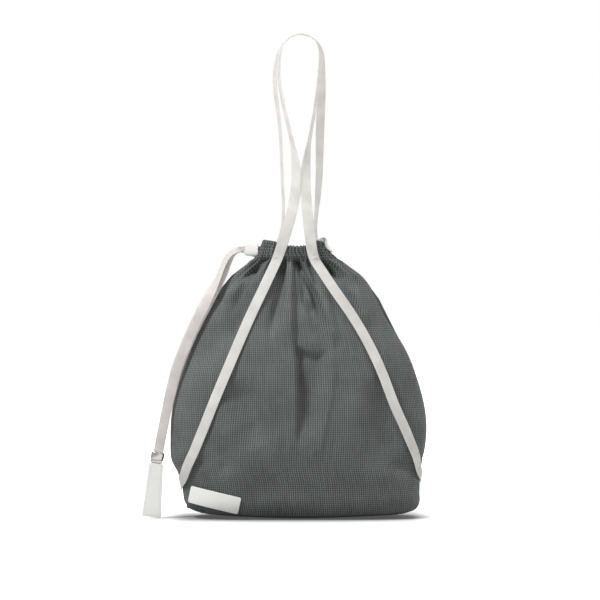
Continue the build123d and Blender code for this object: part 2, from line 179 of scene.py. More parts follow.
def smooth_line(points, count):
    """Even points along the natural cubic spline through a few points, knotted by chord length."""
    points = np.asarray(points, float)
    knots = lengths(points)
    return evenly(cubic(knots, points, np.linspace(0, knots[-1], 8 * count)), count)


def unit(vectors):
    """The vectors scaled to length 1."""
    return vectors / np.maximum(np.linalg.norm(vectors, axis=-1, keepdims=True), 1e-9)


def ease(value):
    """Smooth step of a value held between 0 and 1: three squares less two cubes."""
    value = np.clip(value, 0, 1)
    return value * value * (3 - 2 * value)


def squared_off(turning, power):
    """A cosine or sine drawn towards a square wave, which makes a superellipse of an ellipse."""
    return np.sign(turning) * np.abs(turning) ** power


def softened(rows, reach):
    """Running mean over 2 * reach + 1 neighbours along the first axis, ends held."""
    padded = np.concatenate([np.repeat(rows[:1], reach, 0), rows, np.repeat(rows[-1:], reach, 0)])
    sums = np.cumsum(np.concatenate([np.zeros_like(rows[:1]), padded]), axis=0)
    return (sums[2 * reach + 1:] - sums[:-2 * reach - 1]) / (2 * reach + 1)


def grid_quads(rows, columns, wrap=False):
    """Corner numbers of the quads of a grid, joined round from its last column to its first."""
    across = columns if wrap else columns - 1
    row, column = np.meshgrid(np.arange(rows - 1), np.arange(across), indexing="ij")
    following = (column + 1) % columns
    corners = (row * columns + column, row * columns + following,
               (row + 1) * columns + following, (row + 1) * columns + column)
    return np.stack(corners, axis=-1).reshape(-1, 4)


def mesh_piece(name, points, quads, material, flats=None, caps=(), merge=False):
    """Makes a mesh object from points in millimetres. flats is each point's place on the flat material."""
    mesh = bpy.data.meshes.new(name)
    mesh.from_pydata(np.asarray(points).reshape(-1, 3) * MM, [], list(quads) + [list(c) for c in caps])
    if flats is not None:
        layer = mesh.uv_layers.new(name="cloth")
        corners = np.empty(len(mesh.loops), dtype=np.int32)
        mesh.loops.foreach_get("vertex_index", corners)
        layer.data.foreach_set("uv", (np.asarray(flats).reshape(-1, 2)[corners] * MM).ravel())
    if merge:
        form = bmesh.new()
        form.from_mesh(mesh)
        bmesh.ops.remove_doubles(form, verts=form.verts, dist=0.02 * MM)
        form.to_mesh(mesh)
        form.free()
    mesh.polygons.foreach_set("use_smooth", np.ones(len(mesh.polygons), dtype=bool))
    mesh.materials.append(material)
    piece = bpy.data.objects.new(name, mesh)
    bpy.context.scene.collection.objects.link(piece)
    return piece


def belongs(piece, body, slot, *nodes):
    """Puts a piece on its body, and in place of the CAD nodes it stands for. Its slot argument is not used.
    """
    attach(piece, body)
    if nodes:
        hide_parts(*nodes)
    return piece


def thicken(piece, thickness, lean=-1):
    """Gives a sheet its thickness inwards, or with lean 0 equally to both sides."""
    solid = piece.modifiers.new("thickness", "SOLIDIFY")
    solid.thickness = thickness * MM
    solid.offset = lean


# ---------------------------------------------------------------- materials
def linear(hex_colour):
    """sRGB hex to the linear RGBA that shaders take."""
    parts = np.array([int(hex_colour[i:i + 2], 16) / 255 for i in (1, 3, 5)])
    flat = np.where(parts <= 0.04045, parts / 12.92, ((parts + 0.055) / 1.055) ** 2.4)
    return (*flat, 1.0)


def add(tree, kind, inputs=None, **settings):
    """Adds a node. Each input gets a value, or a link from a socket or a node's first output."""
    made = tree.nodes.new(kind)
    for setting, value in settings.items():
        setattr(made, setting, value)
    for socket, value in (inputs or {}).items():
        if isinstance(value, bpy.types.Node):
            value = value.outputs[0]
        if isinstance(value, bpy.types.NodeSocket):
            tree.links.new(value, made.inputs[socket])
        else:
            made.inputs[socket].default_value = value
    return made


def new_material(name, surface, *settings):
    """A material with the given name, whose surface is what a function adds to its node tree."""
    material = bpy.data.materials.new(name)
    material.use_nodes = True
    tree = material.node_tree
    tree.nodes.clear()
    add(tree, "ShaderNodeOutputMaterial", {"Surface": surface(tree, *settings)})
    return material


def wave(tree, place, pitch):
    """sin squared along one coordinate: 0 on each thread and 1 half way between two."""
    turned = add(tree, "ShaderNodeMath", {0: place, 1: pi / (pitch * MM)}, operation="MULTIPLY")
    sine = add(tree, "ShaderNodeMath", {0: turned}, operation="SINE")
    return add(tree, "ShaderNodeMath", {0: sine, 1: sine}, operation="MULTIPLY")


def cloth_place(tree, wobble, grain):
    """Place on the flat cloth with each yarn wandering by wobble mm over a length of grain mm."""
    flat = add(tree, "ShaderNodeUVMap", uv_map="cloth")
    noise = add(tree, "ShaderNodeTexNoise", {"Vector": flat, "Scale": 1 / (grain * MM), "Detail": 2.0})
    centred = add(tree, "ShaderNodeVectorMath", {0: noise.outputs["Color"], 1: (0.5, 0.5, 0.5)},
                  operation="SUBTRACT")
    moved = add(tree, "ShaderNodeVectorMath",
                {0: centred, 1: (2 * wobble * MM,) * 3, 2: flat}, operation="MULTIPLY_ADD")
    return flat, moved


def polyester_mesh(tree):
    """Knitted polyester mesh, piece-dyed: matt multifilament yarn round small square holes, which are
    painted near black as the shade of the dark inside of the bag.
    """
    flat, place = cloth_place(tree, 0.35, 9.0)
    split = add(tree, "ShaderNodeSeparateXYZ", {0: place})
    across, along = wave(tree, split.outputs[0], MESH_PITCH), wave(tree, split.outputs[1], MESH_PITCH)
    rung = add(tree, "ShaderNodeMapRange", {"Value": along, "From Max": 0.8, "To Min": 0.22})
    hollow = add(tree, "ShaderNodeMath", {0: across, 1: rung}, operation="MULTIPLY")
    painted_hole_shade = add(tree, "ShaderNodeMapRange",
               {"Value": hollow, "From Min": 0.1, "From Max": 0.75}, interpolation_type="SMOOTHSTEP")
    # yarn of uneven dye uptake: streaks along the wales and slow clouds
    streak_place = add(tree, "ShaderNodeVectorMath", {0: flat, 1: (520.0, 26.0, 1.0)},
                       operation="MULTIPLY")
    streak = add(tree, "ShaderNodeTexNoise",
                 {"Vector": streak_place, "Scale": 1.0, "Detail": 3.0, "Roughness": 0.6})
    cloud = add(tree, "ShaderNodeTexNoise", {"Vector": flat, "Scale": 24.0, "Detail": 4.0})
    both = add(tree, "ShaderNodeMath", {0: streak, 1: cloud}, operation="ADD")
    yarn_share = add(tree, "ShaderNodeMapRange", {"Value": both, "From Min": 0.7, "From Max": 1.3})
    yarn = add(tree, "ShaderNodeMix", {0: yarn_share, 6: linear("#5a5e5d"),
                                       7: linear("#737776")}, data_type="RGBA")
    # the holes are painted near black: painted shade for the dark inside of the bag seen through them
    colour = add(tree, "ShaderNodeMix", {0: painted_hole_shade, 6: yarn.outputs[2],
                                         7: linear("#252827")}, data_type="RGBA")
    fuzz = add(tree, "ShaderNodeTexNoise", {"Vector": flat, "Scale": 1 / (0.5 * MM), "Detail": 2.0})
    height = add(tree, "ShaderNodeMath", {0: hollow, 1: -1.0, 2: fuzz}, operation="MULTIPLY_ADD")
    bump = add(tree, "ShaderNodeBump", {"Height": height, "Strength": 0.55, "Distance": 0.35 * MM})
    return add(tree, "ShaderNodeBsdfPrincipled", {
        "Base Color": colour.outputs[2], "Roughness": 0.82, "Sheen Weight": 0.06,
        "Sheen Roughness": 0.5, "Specular IOR Level": 0.22, "Normal": bump})


def woven_tape(tree, light, dark, rib):
    """Narrow-woven tape of bulked polyester: soft matt ribs across the width, firm selvedges."""
    flat, place = cloth_place(tree, 0.12, 3.0)
    split = add(tree, "ShaderNodeSeparateXYZ", {0: place})
    across, along = wave(tree, split.outputs[0], 1.2 * rib), wave(tree, split.outputs[1], rib)
    weave = add(tree, "ShaderNodeMath", {0: across, 1: along}, operation="MULTIPLY")
    soil = add(tree, "ShaderNodeTexNoise", {"Vector": flat, "Scale": 60.0, "Detail": 5.0})
    shade = add(tree, "ShaderNodeMath", {0: weave, 1: 0.45, 2: soil}, operation="MULTIPLY_ADD")
    share = add(tree, "ShaderNodeMapRange", {"Value": shade, "From Min": 0.35, "From Max": 1.0})
    colour = add(tree, "ShaderNodeMix", {0: share, 6: linear(light), 7: linear(dark)},
                 data_type="RGBA")
    bump = add(tree, "ShaderNodeBump", {"Height": weave, "Strength": 0.5, "Distance": -0.16 * MM})
    shader = add(tree, "ShaderNodeBsdfPrincipled", {
        "Base Color": colour.outputs[2], "Roughness": 0.8, "Sheen Weight": 0.12,
        "Sheen Roughness": 0.4, "Normal": bump})
    # a thin white tape lets through part of the light that falls on its other face
    through = add(tree, "ShaderNodeBsdfTranslucent", {"Color": colour.outputs[2]})
    return add(tree, "ShaderNodeMixShader", {0: 0.4, 1: shader, 2: through})


def coated_leather(tree):
    """White coated split leather, embossed: a soft satin film over a fine pebble grain."""
    place = add(tree, "ShaderNodeTexCoord").outputs["Object"]
    pebbles = add(tree, "ShaderNodeTexVoronoi", {"Vector": place, "Scale": 1 / (0.9 * MM)},
                  feature="DISTANCE_TO_EDGE")
    pore = add(tree, "ShaderNodeTexNoise", {"Vector": place, "Scale": 1 / (0.35 * MM), "Detail": 3.0})
    grain = add(tree, "ShaderNodeMapRange", {"Value": pebbles.outputs["Distance"], "From Max": 0.25},
                interpolation_type="SMOOTHSTEP")
    height = add(tree, "ShaderNodeMath", {0: pore, 1: 0.35, 2: grain}, operation="MULTIPLY_ADD")
    tone = add(tree, "ShaderNodeTexNoise", {"Vector": place, "Scale": 45.0, "Detail": 4.0})
    share = add(tree, "ShaderNodeMapRange", {"Value": tone, "From Min": 0.35, "From Max": 0.7})
    film = add(tree, "ShaderNodeMix", {0: share, 6: linear("#f2f2f0"),
                                       7: linear("#e9e9e6")}, data_type="RGBA")
    colour = add(tree, "ShaderNodeMix", {0: grain, 6: linear("#dededa"),
                                         7: film.outputs[2]}, data_type="RGBA")
    gloss = add(tree, "ShaderNodeMapRange", {"Value": pore, "To Min": 0.38, "To Max": 0.58})
    bump = add(tree, "ShaderNodeBump", {"Height": height, "Strength": 0.25, "Distance": 0.1 * MM})
    return add(tree, "ShaderNodeBsdfPrincipled", {
        "Base Color": colour.outputs[2], "Roughness": gloss, "Normal": bump})


def nickel_plate(tree):
    """Die-cast zinc, polished and nickel-plated: bright, with faint polishing haze and handling marks; its
    colour is set darker than bare nickel as painted shade in its reflections.
    """
    place = add(tree, "ShaderNodeTexCoord").outputs["Object"]
    haze = add(tree, "ShaderNodeTexNoise", {"Vector": place, "Scale": 1 / (1.5 * MM), "Detail": 5.0})
    rough = add(tree, "ShaderNodeMapRange", {"Value": haze, "To Min": 0.12, "To Max": 0.26})
    bump = add(tree, "ShaderNodeBump", {"Height": haze, "Strength": 0.08, "Distance": 0.05 * MM})
    # the base colour is darker than bare nickel: painted shade for the darker surroundings it would mirror
    return add(tree, "ShaderNodeBsdfPrincipled", {
        "Base Color": linear("#989893"), "Metallic": 1.0, "Roughness": rough, "Normal": bump})


def spun_thread(tree, light, dark):
    """Spun polyester sewing thread: matt, with its twist showing as fine slanting plies."""
    place = add(tree, "ShaderNodeTexCoord").outputs["Object"]
    plies = add(tree, "ShaderNodeTexWave", {"Vector": place, "Scale": 1 / (0.9 * MM),
                                            "Distortion": 2.0}, bands_direction="DIAGONAL")
    colour = add(tree, "ShaderNodeMix", {0: plies.outputs["Fac"], 6: linear(dark), 7: linear(light)},
                 data_type="RGBA")
    bump = add(tree, "ShaderNodeBump", {"Height": plies.outputs["Fac"], "Strength": 0.4,
                                        "Distance": 0.08 * MM})
    return add(tree, "ShaderNodeBsdfPrincipled", {
        "Base Color": colour.outputs[2], "Roughness": 0.75, "Sheen Weight": 0.2, "Normal": bump})


def seam_binding(tree):
    """Dyed polyester grosgrain binding over the seam allowances inside: matt with close ribs."""
    place = add(tree, "ShaderNodeTexCoord").outputs["Object"]
    split = add(tree, "ShaderNodeSeparateXYZ", {0: place})
    ribs = wave(tree, split.outputs[2], 1.1)
    tone = add(tree, "ShaderNodeTexNoise", {"Vector": place, "Scale": 90.0, "Detail": 3.0})
    share = add(tree, "ShaderNodeMath", {0: ribs, 1: 0.5, 2: tone}, operation="MULTIPLY_ADD")
    colour = add(tree, "ShaderNodeMix", {0: share, 6: linear("#3c403f"),
                                         7: linear("#5a5f5d")}, data_type="RGBA")
    bump = add(tree, "ShaderNodeBump", {"Height": ribs, "Strength": 0.4, "Distance": 0.2 * MM})
    return add(tree, "ShaderNodeBsdfPrincipled", {
        "Base Color": colour.outputs[2], "Roughness": 0.85, "Normal": bump})


MESH_CLOTH = new_material("polyester_mesh", polyester_mesh)
WEBBING = new_material("white_webbing", woven_tape, "#eeedea", "#d8d6d2", 0.9)
DRAWSTRING = new_material("soft_drawstring_tape", woven_tape, "#edeae8", "#d9d4d1", 0.8)
LEATHER_FINISH = new_material("coated_leather", coated_leather)
NICKEL = new_material("nickel_plate", nickel_plate)
DARK_THREAD = new_material("grey_sewing_thread", spun_thread, "#6b6f6e", "#3d4140")
WHITE_THREAD = new_material("white_sewing_thread", spun_thread, "#f0efec", "#c9c8c4")
BINDING = new_material("seam_binding", seam_binding)


# ---------------------------------------------------------------- form of the filled bag
def body_at(heights):
    """Middle, half width, half depth and squareness of the outline at each height."""
    left, right, depth = cubic(BODY[:, 0], BODY[:, 1:], heights).T
    squareness = np.interp(heights, *SQUARENESS)
    return (left + right) / 2, (right - left) / 2, depth, squareness


def front_depth(x, z):
    """How far the filled bag's front stands out at x, z: the superellipse solved for its depth."""
    middle, half, depth, squareness = body_at(np.ravel(z))
    across = np.clip(np.abs((np.ravel(x) - middle) / half), 0, 1)
    out = depth * (1 - across**squareness) ** (1 / squareness)
    return out.reshape(np.shape(x))


def outlines(heights, shares):
    """Half outlines from the right seam over the front to the left seam, at equal shares of length."""
    angle = np.linspace(0, pi, 721)
    x, y = np.empty((len(heights), len(shares))), np.empty((len(heights), len(shares)))
    for row, (middle, half, depth, square) in enumerate(zip(*body_at(heights))):
        line = np.stack([middle + half * squared_off(np.cos(angle), 2 / square),
                         -depth * squared_off(np.sin(angle), 2 / square)], axis=1)
        far = lengths(line)
        x[row] = np.interp(shares * far[-1], far, line[:, 0])
        y[row] = np.interp(shares * far[-1], far, line[:, 1])
    return x, y


def around_length(x, y):
    """Length of each row of outline points."""
    return np.sum(np.hypot(np.diff(x, axis=1), np.diff(y, axis=1)), axis=1)


def outward(x, y):
    """Level unit normals of rows of outline points, out of the bag."""
    along_x, along_y = np.gradient(x, axis=1), np.gradient(y, axis=1)
    return unit(np.stack([-along_y, along_x, np.zeros(x.shape)], axis=-1))


def outlines_from_seam(z, right):
    """Shares of the outlines' length from one side seam, with their points there and their whole length."""
    shares = np.linspace(0, 1, 301)
    x, y = outlines(z, shares if right else shares[::-1])
    return shares, x, y, around_length(x, y)


def on_surface(away, z, right):
    """Points of the filled bag's front at distances along the outline from one side seam, at heights z.

    A negative distance goes on past the seam round to the back.
    """
    shares, x, y, around = outlines_from_seam(z, right)
    place = np.clip(np.abs(away) / around, 0, 1) * (len(shares) - 1)
    low = np.minimum(place.astype(int), len(shares) - 2)
    part, rows = place - low, np.arange(len(z))
    line_x = (1 - part) * x[rows, low] + part * x[rows, low + 1]
    line_y = (1 - part) * y[rows, low] + part * y[rows, low + 1]
    return np.stack([line_x, line_y * np.where(away < 0, -1, 1), z], axis=1)


def away_from_seam(x, z, right):
    """Distance along the outline from one side seam to where it passes x, at heights z."""
    shares, line_x, _, around = outlines_from_seam(z, right)
    sign = -1 if right else 1
    return around * [np.interp(sign * at, sign * row, shares) for at, row in zip(x, line_x)]


def pleat_turn(share, count, seed):
    """Where the cloth is in the row of pleats, as a number of pleats, which are a little uneven."""
    return count * (share + 0.010 * np.sin(17 * share + seed) + 0.006 * np.sin(41 * share + 2 * seed))


def pleat_valleys(share, below, count, seed, depth, reach):
    """Push of gathered pleats: round lobes, |sin| across, with creased valleys between them.

    Each valley has its own depth and dies away at its own distance below the gather.
    """
    draw = np.random.default_rng(seed)
    turn = pleat_turn(share, count, seed)
    valley = np.clip(np.rint(turn).astype(int), 0, count)
    own_depth = depth * draw.uniform(0.65, 1.0, count + 1)[valley]
    own_reach = reach * draw.uniform(0.35, 1.7, count + 1)[valley]
    fading = np.exp(-(np.maximum(below, 0) / own_reach) ** 1.3)
    return own_depth * (1 - np.abs(np.sin(pi * turn))) * fading


def crease(x, z, path, depth, widths, ends=(0.0, 0.0)):
    """Push of one fold along a line in the front view: a bell across it, with a width for each side.

    widths are to the left and to the right of the line as it is walked, and ends are the shares of
    the depth that are left at its start and end. A negative depth makes a ridge.
    """
    path = np.asarray(path, float)
    far = lengths(path)
    nearest = np.full(x.shape, 1e9)
    side, along = np.zeros(x.shape), np.zeros(x.shape)
    for start, end, begun in zip(path[:-1], path[1:], far):
        run = end - start
        size = np.hypot(*run)
        dx, dz = x - start[0], z - start[1]
        share = np.clip((dx * run[0] + dz * run[1]) / size**2, 0, 1)
        away = np.hypot(dx - share * run[0], dz - share * run[1])
        closer = away < nearest
        nearest = np.where(closer, away, nearest)
        side = np.where(closer, run[0] * dz - run[1] * dx, side)
        along = np.where(closer, (begun + share * size) / far[-1], along)
    width = np.where(side > 0, widths[0], widths[1])
    strength = np.interp(along, (0, 0.25, 0.7, 1), (ends[0], 1, 1, ends[1]))
    return depth * strength * np.exp(-(nearest / width) ** 2)


# sets of pleats on a panel, from fine to broad: how many, seed, depth at the gather, reach below it
PLEAT_SETS = ((PLEATS, 0, 3.4, 17), (PLEATS // 2, 1, 5.6, 42), (PLEATS // 4, 3, 6, 110))

# folds of the front in the front view: line of x, z; depth; widths left and right of it; ends
FRONT_FOLDS = (
    # nicks of the gather at both edges of the webbing
    (((-36.5, 315.4), (-31, 314.2), (-27, 313.4)), 5, (1.1, 1.6), (0.4, 1)),
    (((-22, 311.6), (-18.5, 310.8), (-15.5, 310.2)), 6, (1.1, 1.6), (1, 0.5)),
    (((11, 310.4), (14, 309.6)), 5, (1.1, 1.6), (0.5, 1)),
    (((20, 310.4), (24, 309.4)), 5, (1.1, 1.6), (1, 0.5)),
    # elbow fold over the left shoulder, the roll above it and the hollow beside the webbing
    (((-38, 311), (-47.9, 307.2), (-53.5, 300.7), (-57.5, 293.5)), 10, (2.4, 3.6), (0.8, 0.6)),
    (((-55, 298), (-62, 291.5), (-71, 284)), 9, (4.6, 3), (0.4, 0)),
    (((-42, 312), (-54, 306), (-62, 299)), -2.5, (3, 4), (0.3, 0)),
    (((-54, 286), (-66, 281), (-80, 270), (-88, 256)), -5.5, (8, 7), (0.4, 0)),
    (((-60, 270), (-68, 247), (-79, 222), (-88, 200)), 8.5, (8, 12), (0.2, 0)),
    # deep hollow beside the right webbing, the rolls round it and a thin line beyond
    (((24, 308), (31, 303), (38, 297), (47, 289), (55, 282)), 17, (4.2, 5), (0.9, 0)),
    (((38, 310), (48, 304), (60, 296.5), (70, 289.5), (79, 279)), -3.6, (4, 4), (0.4, 0)),
    (((52, 282), (66, 268), (76, 250), (84, 226)), -7, (9, 9), (0.5, 0)),
    (((60, 272), (66, 260), (71, 244)), 2.6, (2.4, 3), (0.2, 0)),
    (((28, 262), (38, 232), (44, 206)), -7, (7, 6), (0.3, 0)),
    # creases between the webbings, with the narrow ridges they leave
    (((-17.4, 307), (-18.6, 281), (-23.4, 261.6), (-30, 235), (-34, 214)), 7.5, (3.2, 5.5), (0.9, 0)),
    (((-10.5, 300), (-10.2, 262), (-9.6, 228), (-9, 204)), -4.6, (4, 6.5), (0.3, 0)),
    (((-4.2, 306), (-3, 262), (-1.8, 214), (-0.4, 196)), 5, (9, 2.6), (0.6, 0.9)),
    (((-1.8, 307), (5.4, 295), (12.6, 279.6), (20.4, 265), (27, 244.8), (31, 226)), 11, (3.4, 5.5),
     (1, 0)),
    (((4.5, 280), (8, 258), (16, 244), (24, 235)), 7.5, (4, 4), (0.3, 0)),
    (((12, 292), (20, 278), (30, 262)), -2.6, (3, 3.4), (0.4, 0)),
    # long slack folds of the belly
    (((-76, 166), (-68, 146), (-56, 124), (-40, 90)), 11, (15, 18), (0.2, 0)),
    (((-94, 146), (-86, 120), (-72, 88)), -3, (12, 12), (0.2, 0)),
    (((-36, 200), (-32, 160), (-24, 110)), -2.6, (13, 14), (0.2, 0)),
    (((-98, 88), (-88, 72), (-84, 52)), 3.6, (7, 9), (0.3, 0)),
    (((94, 172), (104, 136), (112, 100), (118, 56)), 9, (20, 26), (0.1, 0.1)),
    (((62, 190), (72, 150), (76, 110)), -3, (18, 18), (0.2, 0)),
    (((40, 208), (41, 170), (38, 144), (26, 86), (8, 72)), -2, (4, 5), (0.4, 0)),
    # slack cloth pulled by the webbing ends and the label's corner
    (((-146, 60), (-126, 66), (-104, 76)), 3, (8, 9), (0.7, 0)),
    (((146, 62), (128, 60), (108, 64)), 3, (8, 9), (0.7, 0)),
    (((-98, 236), (-104, 206), (-112, 176)), 3, (9, 12), (0.2, 0)),
)
BACK_FOLDS = (
    (((-30, 308), (-42, 294), (-56, 276), (-66, 256)), 12, (4.5, 5.5), (0.9, 0)),
    (((26, 308), (38, 296), (52, 280), (62, 258)), 12, (5.5, 4.5), (0.9, 0)),
    (((-6, 304), (-9, 280), (-14, 252), (-20, 226)), 7, (4.5, 3), (1, 0)),
    (((10, 304), (13, 284), (16, 258), (24, 232)), 6.5, (3, 4.5), (1, 0)),
    (((2, 300), (3, 270), (4, 236)), -3.4, (4.5, 5), (0.4, 0)),
    (((-30, 214), (-24, 176), (-26, 132)), 6, (13, 10), (0.1, 0)),
    (((36, 206), (44, 170), (40, 120)), 5.5, (11, 14), (0.1, 0)),
    (((80, 180), (92, 140), (96, 90)), 5, (16, 18), (0.1, 0)),
    (((-90, 176), (-98, 130), (-94, 84)), 5, (16, 18), (0.1, 0)),
    (((-146, 60), (-126, 66), (-104, 76)), 3, (8, 9), (0.7, 0)),
    (((146, 62), (128, 60), (108, 64)), 3, (8, 9), (0.7, 0)),
)
# the belly's hollow: heights, its left edge, its right edge
HOLLOW = np.array([(220, -1.6, 41), (200, -1, 39), (178, 0, 34), (150, 0.6, 29),
                   (130, 0.6, 27), (110, 0, 27), (80, -2, 29)])
HOLLOW_DEPTH = 23.0
FOOT_ROLL = 2.0
# how far the foot's edge is off the floor, across the bag
FOOT_LIFT_X = (-150, -131, -117, -102, -88, -74, -45, -10, 10, 41, 70, 99, 113, 128, 142, 150)
FOOT_LIFT = (9.0, 7.5, 6.0, 5.2, 4.4, 3.6, 2.6, 1.8, 1.8, 2.4, 3.4, 4.4, 4.6, 5.0, 6.5, 7.5)
BASE_SEAM = (-88.0, 92.0)            # where the base's centre line ends


def hollow(x, z):
    """Push of the hollow in the belly: a steep left wall, a slow rise to the right, an overhung top."""
    heights, left, right = HOLLOW[::-1].T
    left, right = np.interp(z, heights, left), np.interp(z, heights, right)
    across = (x - left) / (right - left)
    wall = ease((across + 0.16) / 0.28)
    rise = 1 - ease((across - 0.42) / 0.62)
    lip = 209.0 - 8.0 * np.sin(pi * np.clip(across, 0, 1))
    fall = 0.42 * ease((lip - z) / 12.0) + 0.58 * ease((lip - z) / 84.0)
    shape = wall * rise * fall * ease((z - 72.0) / 98.0)
    bulge = np.exp(-((x - 17.0) / 13.0) ** 2 - ((z - 211.0) / 9.0) ** 2)
    return HOLLOW_DEPTH * shape - 2.6 * bulge


def slack(x, z, seed):
    """Slow unevenness of loosely filled cloth: twelve crossing waves of 45 to 130 mm, always inwards."""
    draw = np.random.default_rng(seed)
    total = np.zeros(x.shape)
    for length, turn, start in zip(draw.uniform(45, 130, 12), draw.uniform(0, pi, 12),
                                   draw.uniform(0, 2 * pi, 12)):
        total += np.sin(2 * pi * (x * np.cos(turn) + z * np.sin(turn) * 0.7) / length + start)
    room = ease((z - 6) / 30) * ease((GATHER + 4 - z) / 60)
    return room * (2.4 + 0.95 * total / 2.4)


def foot_roll(y, z):
    """Inward push where the cloth rolls under the bag at its front and back, but not at its corners."""
    return FOOT_ROLL * ease(np.abs(y) / 26) * np.clip(1 - z / 8.0, 0, 1) ** 2


def foot_lift(x, z=0.0):
    """How far the cloth is raised near the foot: all of FOOT_LIFT at its edge, nothing above 70 mm."""
    return np.interp(x, FOOT_LIFT_X, FOOT_LIFT) * np.clip(1 - z / 70.0, 0, 1) ** 2


def body_heights(count):
    """Rows from the floor to the gather, closer at the rounded foot and near the gather."""
    share = np.linspace(0, 1, count)
    return GATHER * (0.62 * share + 0.38 * (0.5 - 0.5 * np.cos(pi * share)))


def cloth_rows(shares, lobes):
    """Rows from the foot to the gather and on to the casing's wavy top edge, round the filled bag."""
    body = body_heights(132)
    up = np.linspace(0, 1, 17)[1:, None]
    heights = np.concatenate([body, GATHER + up[:, 0] * 22])
    x, y = outlines(heights, shares)
    z = np.repeat(heights[:, None], len(shares), axis=1)
    crown = np.interp(x[-1], CROWN_X, CROWN_Z) - CASING_ROLL + 1.5 * (lobes - 0.6)
    z[len(body):] = GATHER + up * (crown - GATHER)
    return x, y, z


def cloth_push(x, y, z, shares, side, seed, folds):
    """How far pleats, folds, slack, webbing and stitches push the cloth inwards."""
    below = GATHER - z
    share = np.broadcast_to(shares, x.shape)
    edge = np.minimum(share, 1 - share) * CLOTH_WIDTH
    push = np.zeros(x.shape)
    growths = (1 + 0.9 * ease(below / 3), ease(below / 6), ease(below / 14))
    for (count, own_seed, depth, reach), growth in zip(PLEAT_SETS, growths):
        push += pleat_valleys(share, below, count, seed + own_seed, depth, reach) * growth
    push += foot_roll(y, z)
    push += slack(x, z, seed + 2) * (0.15 + 0.85 * ease(edge / 34))
    for path, depth, widths, ends in folds:
        push += crease(x, z, path, depth, widths, ends) * ease((GATHER + 2 - z) / 5)
    if side < 0:
        push += hollow(x, z)
    for strap in (STRAP_LEFT, STRAP_RIGHT):
        push += crease(x, z, strap, 0.7, (7.5, 7.5), (1.0, 0.6))
    # gather stitches bite in, the tape fills the casing, and the side seams draw in a little
    push += 1.5 * np.exp(-((z - GATHER) / 1.6) ** 2)
    push -= 0.9 * np.exp(-((z - GATHER - 9) / 5) ** 2) * (z > GATHER)
    push += 0.8 * np.exp(-(edge / 1.8) ** 2) * ease((z - 3) / 8)
    return np.minimum(push, 0.8 * np.abs(y) + 2.2)


def casing_inside(top, inward, lobes):
    """Half circle of the casing's folded top edge, then its lining side straight down to the hem."""
    angle = np.linspace(0, pi, 9)[1:, None, None]
    roll = top + CASING_ROLL * ((1 - np.cos(angle)) * inward + np.sin(angle) * np.array([0, 0, 1.0]))
    drop = np.linspace(0, 1, 11)[1:, None, None]
    lining = roll[-1] + inward * (0.7 * (1 - lobes[:, None]) * np.sin(pi * drop))
    lining[..., 2:] += drop * (GATHER - 3 - roll[-1, :, 2:])
    return np.concatenate([roll, lining])


def cloth(name, side, seed, folds, nodes):
    """One panel with its half of the casing: front for side -1, back for side 1.

    The rows climb from the foot to the gather, up the outside of the casing, over its rolled top
    edge and down its inside. The columns run at equal shares of each row's length, so that each
    keeps to one wale of the cloth, and pleats, folds and slack push the rows inwards. Returns the
    points of the outside.
    """
    shares = np.linspace(0, 1, 244)
    lobes = np.abs(np.sin(pi * pleat_turn(shares, PLEATS, seed)))
    x, y, z = cloth_rows(shares, lobes)
    push = cloth_push(x, y, z, shares, side, seed, folds)
    out = outward(x, y)
    outer = np.stack([x, y, z + foot_lift(x, z)], axis=-1) - out * push[..., None]
    points = np.concatenate([outer, casing_inside(outer[-1], -out[-1], lobes)])
    points[..., 1] = np.minimum(points[..., 1], -0.15)
    # most of what the gathers take up is hidden in their folds, so the wales close up only a little
    around = around_length(x, y)
    around = np.pad(around, (0, len(points) - len(around)), mode="edge")
    wales = CLOTH_WIDTH * (around / around.max()) ** 0.75
    along = lengths(points[:, len(shares) // 2])
    flats = np.stack([(shares - 0.5) * wales[:, None], along[:, None] + 0 * shares], axis=-1)
    points[..., 1] *= -side
    quads = grid_quads(*points.shape[:2])
    if side < 0:
        quads = quads[:, ::-1]
    piece = mesh_piece(name, points, quads, MESH_CLOTH, flats)
    thicken(piece, CLOTH_THICKNESS)
    belongs(piece, "bag", "mesh", *nodes)
    return outer * np.array([1, -side, 1])


def base_cloth():
    """Base between the panels: the foot's outline shrunk to its centre line, where the seam is.

    It is raised as the foot's edge is, and sags from there to the middle.
    """
    rows, columns = 26, 240
    shares = np.linspace(0, 1, columns // 2, endpoint=False)
    x, y = outlines(np.array([0.0]), np.concatenate([shares, [1.0]]))
    rim = np.concatenate([np.stack([x[0, :-1], y[0, :-1]], axis=1),
                          np.stack([x[0, ::-1][:-1], -y[0, ::-1][:-1]], axis=1)])
    along = np.roll(rim, -1, axis=0) - np.roll(rim, 1, axis=0)
    inward = unit(np.stack([-along[:, 1], along[:, 0]], axis=1))
    inward *= np.sign(np.sum(inward * -rim, axis=1))[:, None]
    rim = rim + inward * foot_roll(rim[:, 1:], 0.0)
    core = np.stack([np.clip(rim[:, 0], *BASE_SEAM), np.zeros(columns)], axis=1)
    share = np.linspace(0, 1, rows)[:, None, None]
    plan = rim * (1 - share) + core * share
    sag = 0.15 + 1.1 * np.exp(-(plan[..., 1] / 2.0) ** 2)
    lift = sag + foot_lift(plan[..., 0]) - min(FOOT_LIFT) * (1 - (1 - share[..., 0]) ** 1.5)
    points = np.concatenate([plan, lift[..., None]], axis=-1)
    quads = grid_quads(rows, columns, wrap=True)
    piece = mesh_piece("base_cloth", points, quads, MESH_CLOTH, plan, merge=True)
    thicken(piece, CLOTH_THICKNESS)
    belongs(piece, "bag", "mesh")


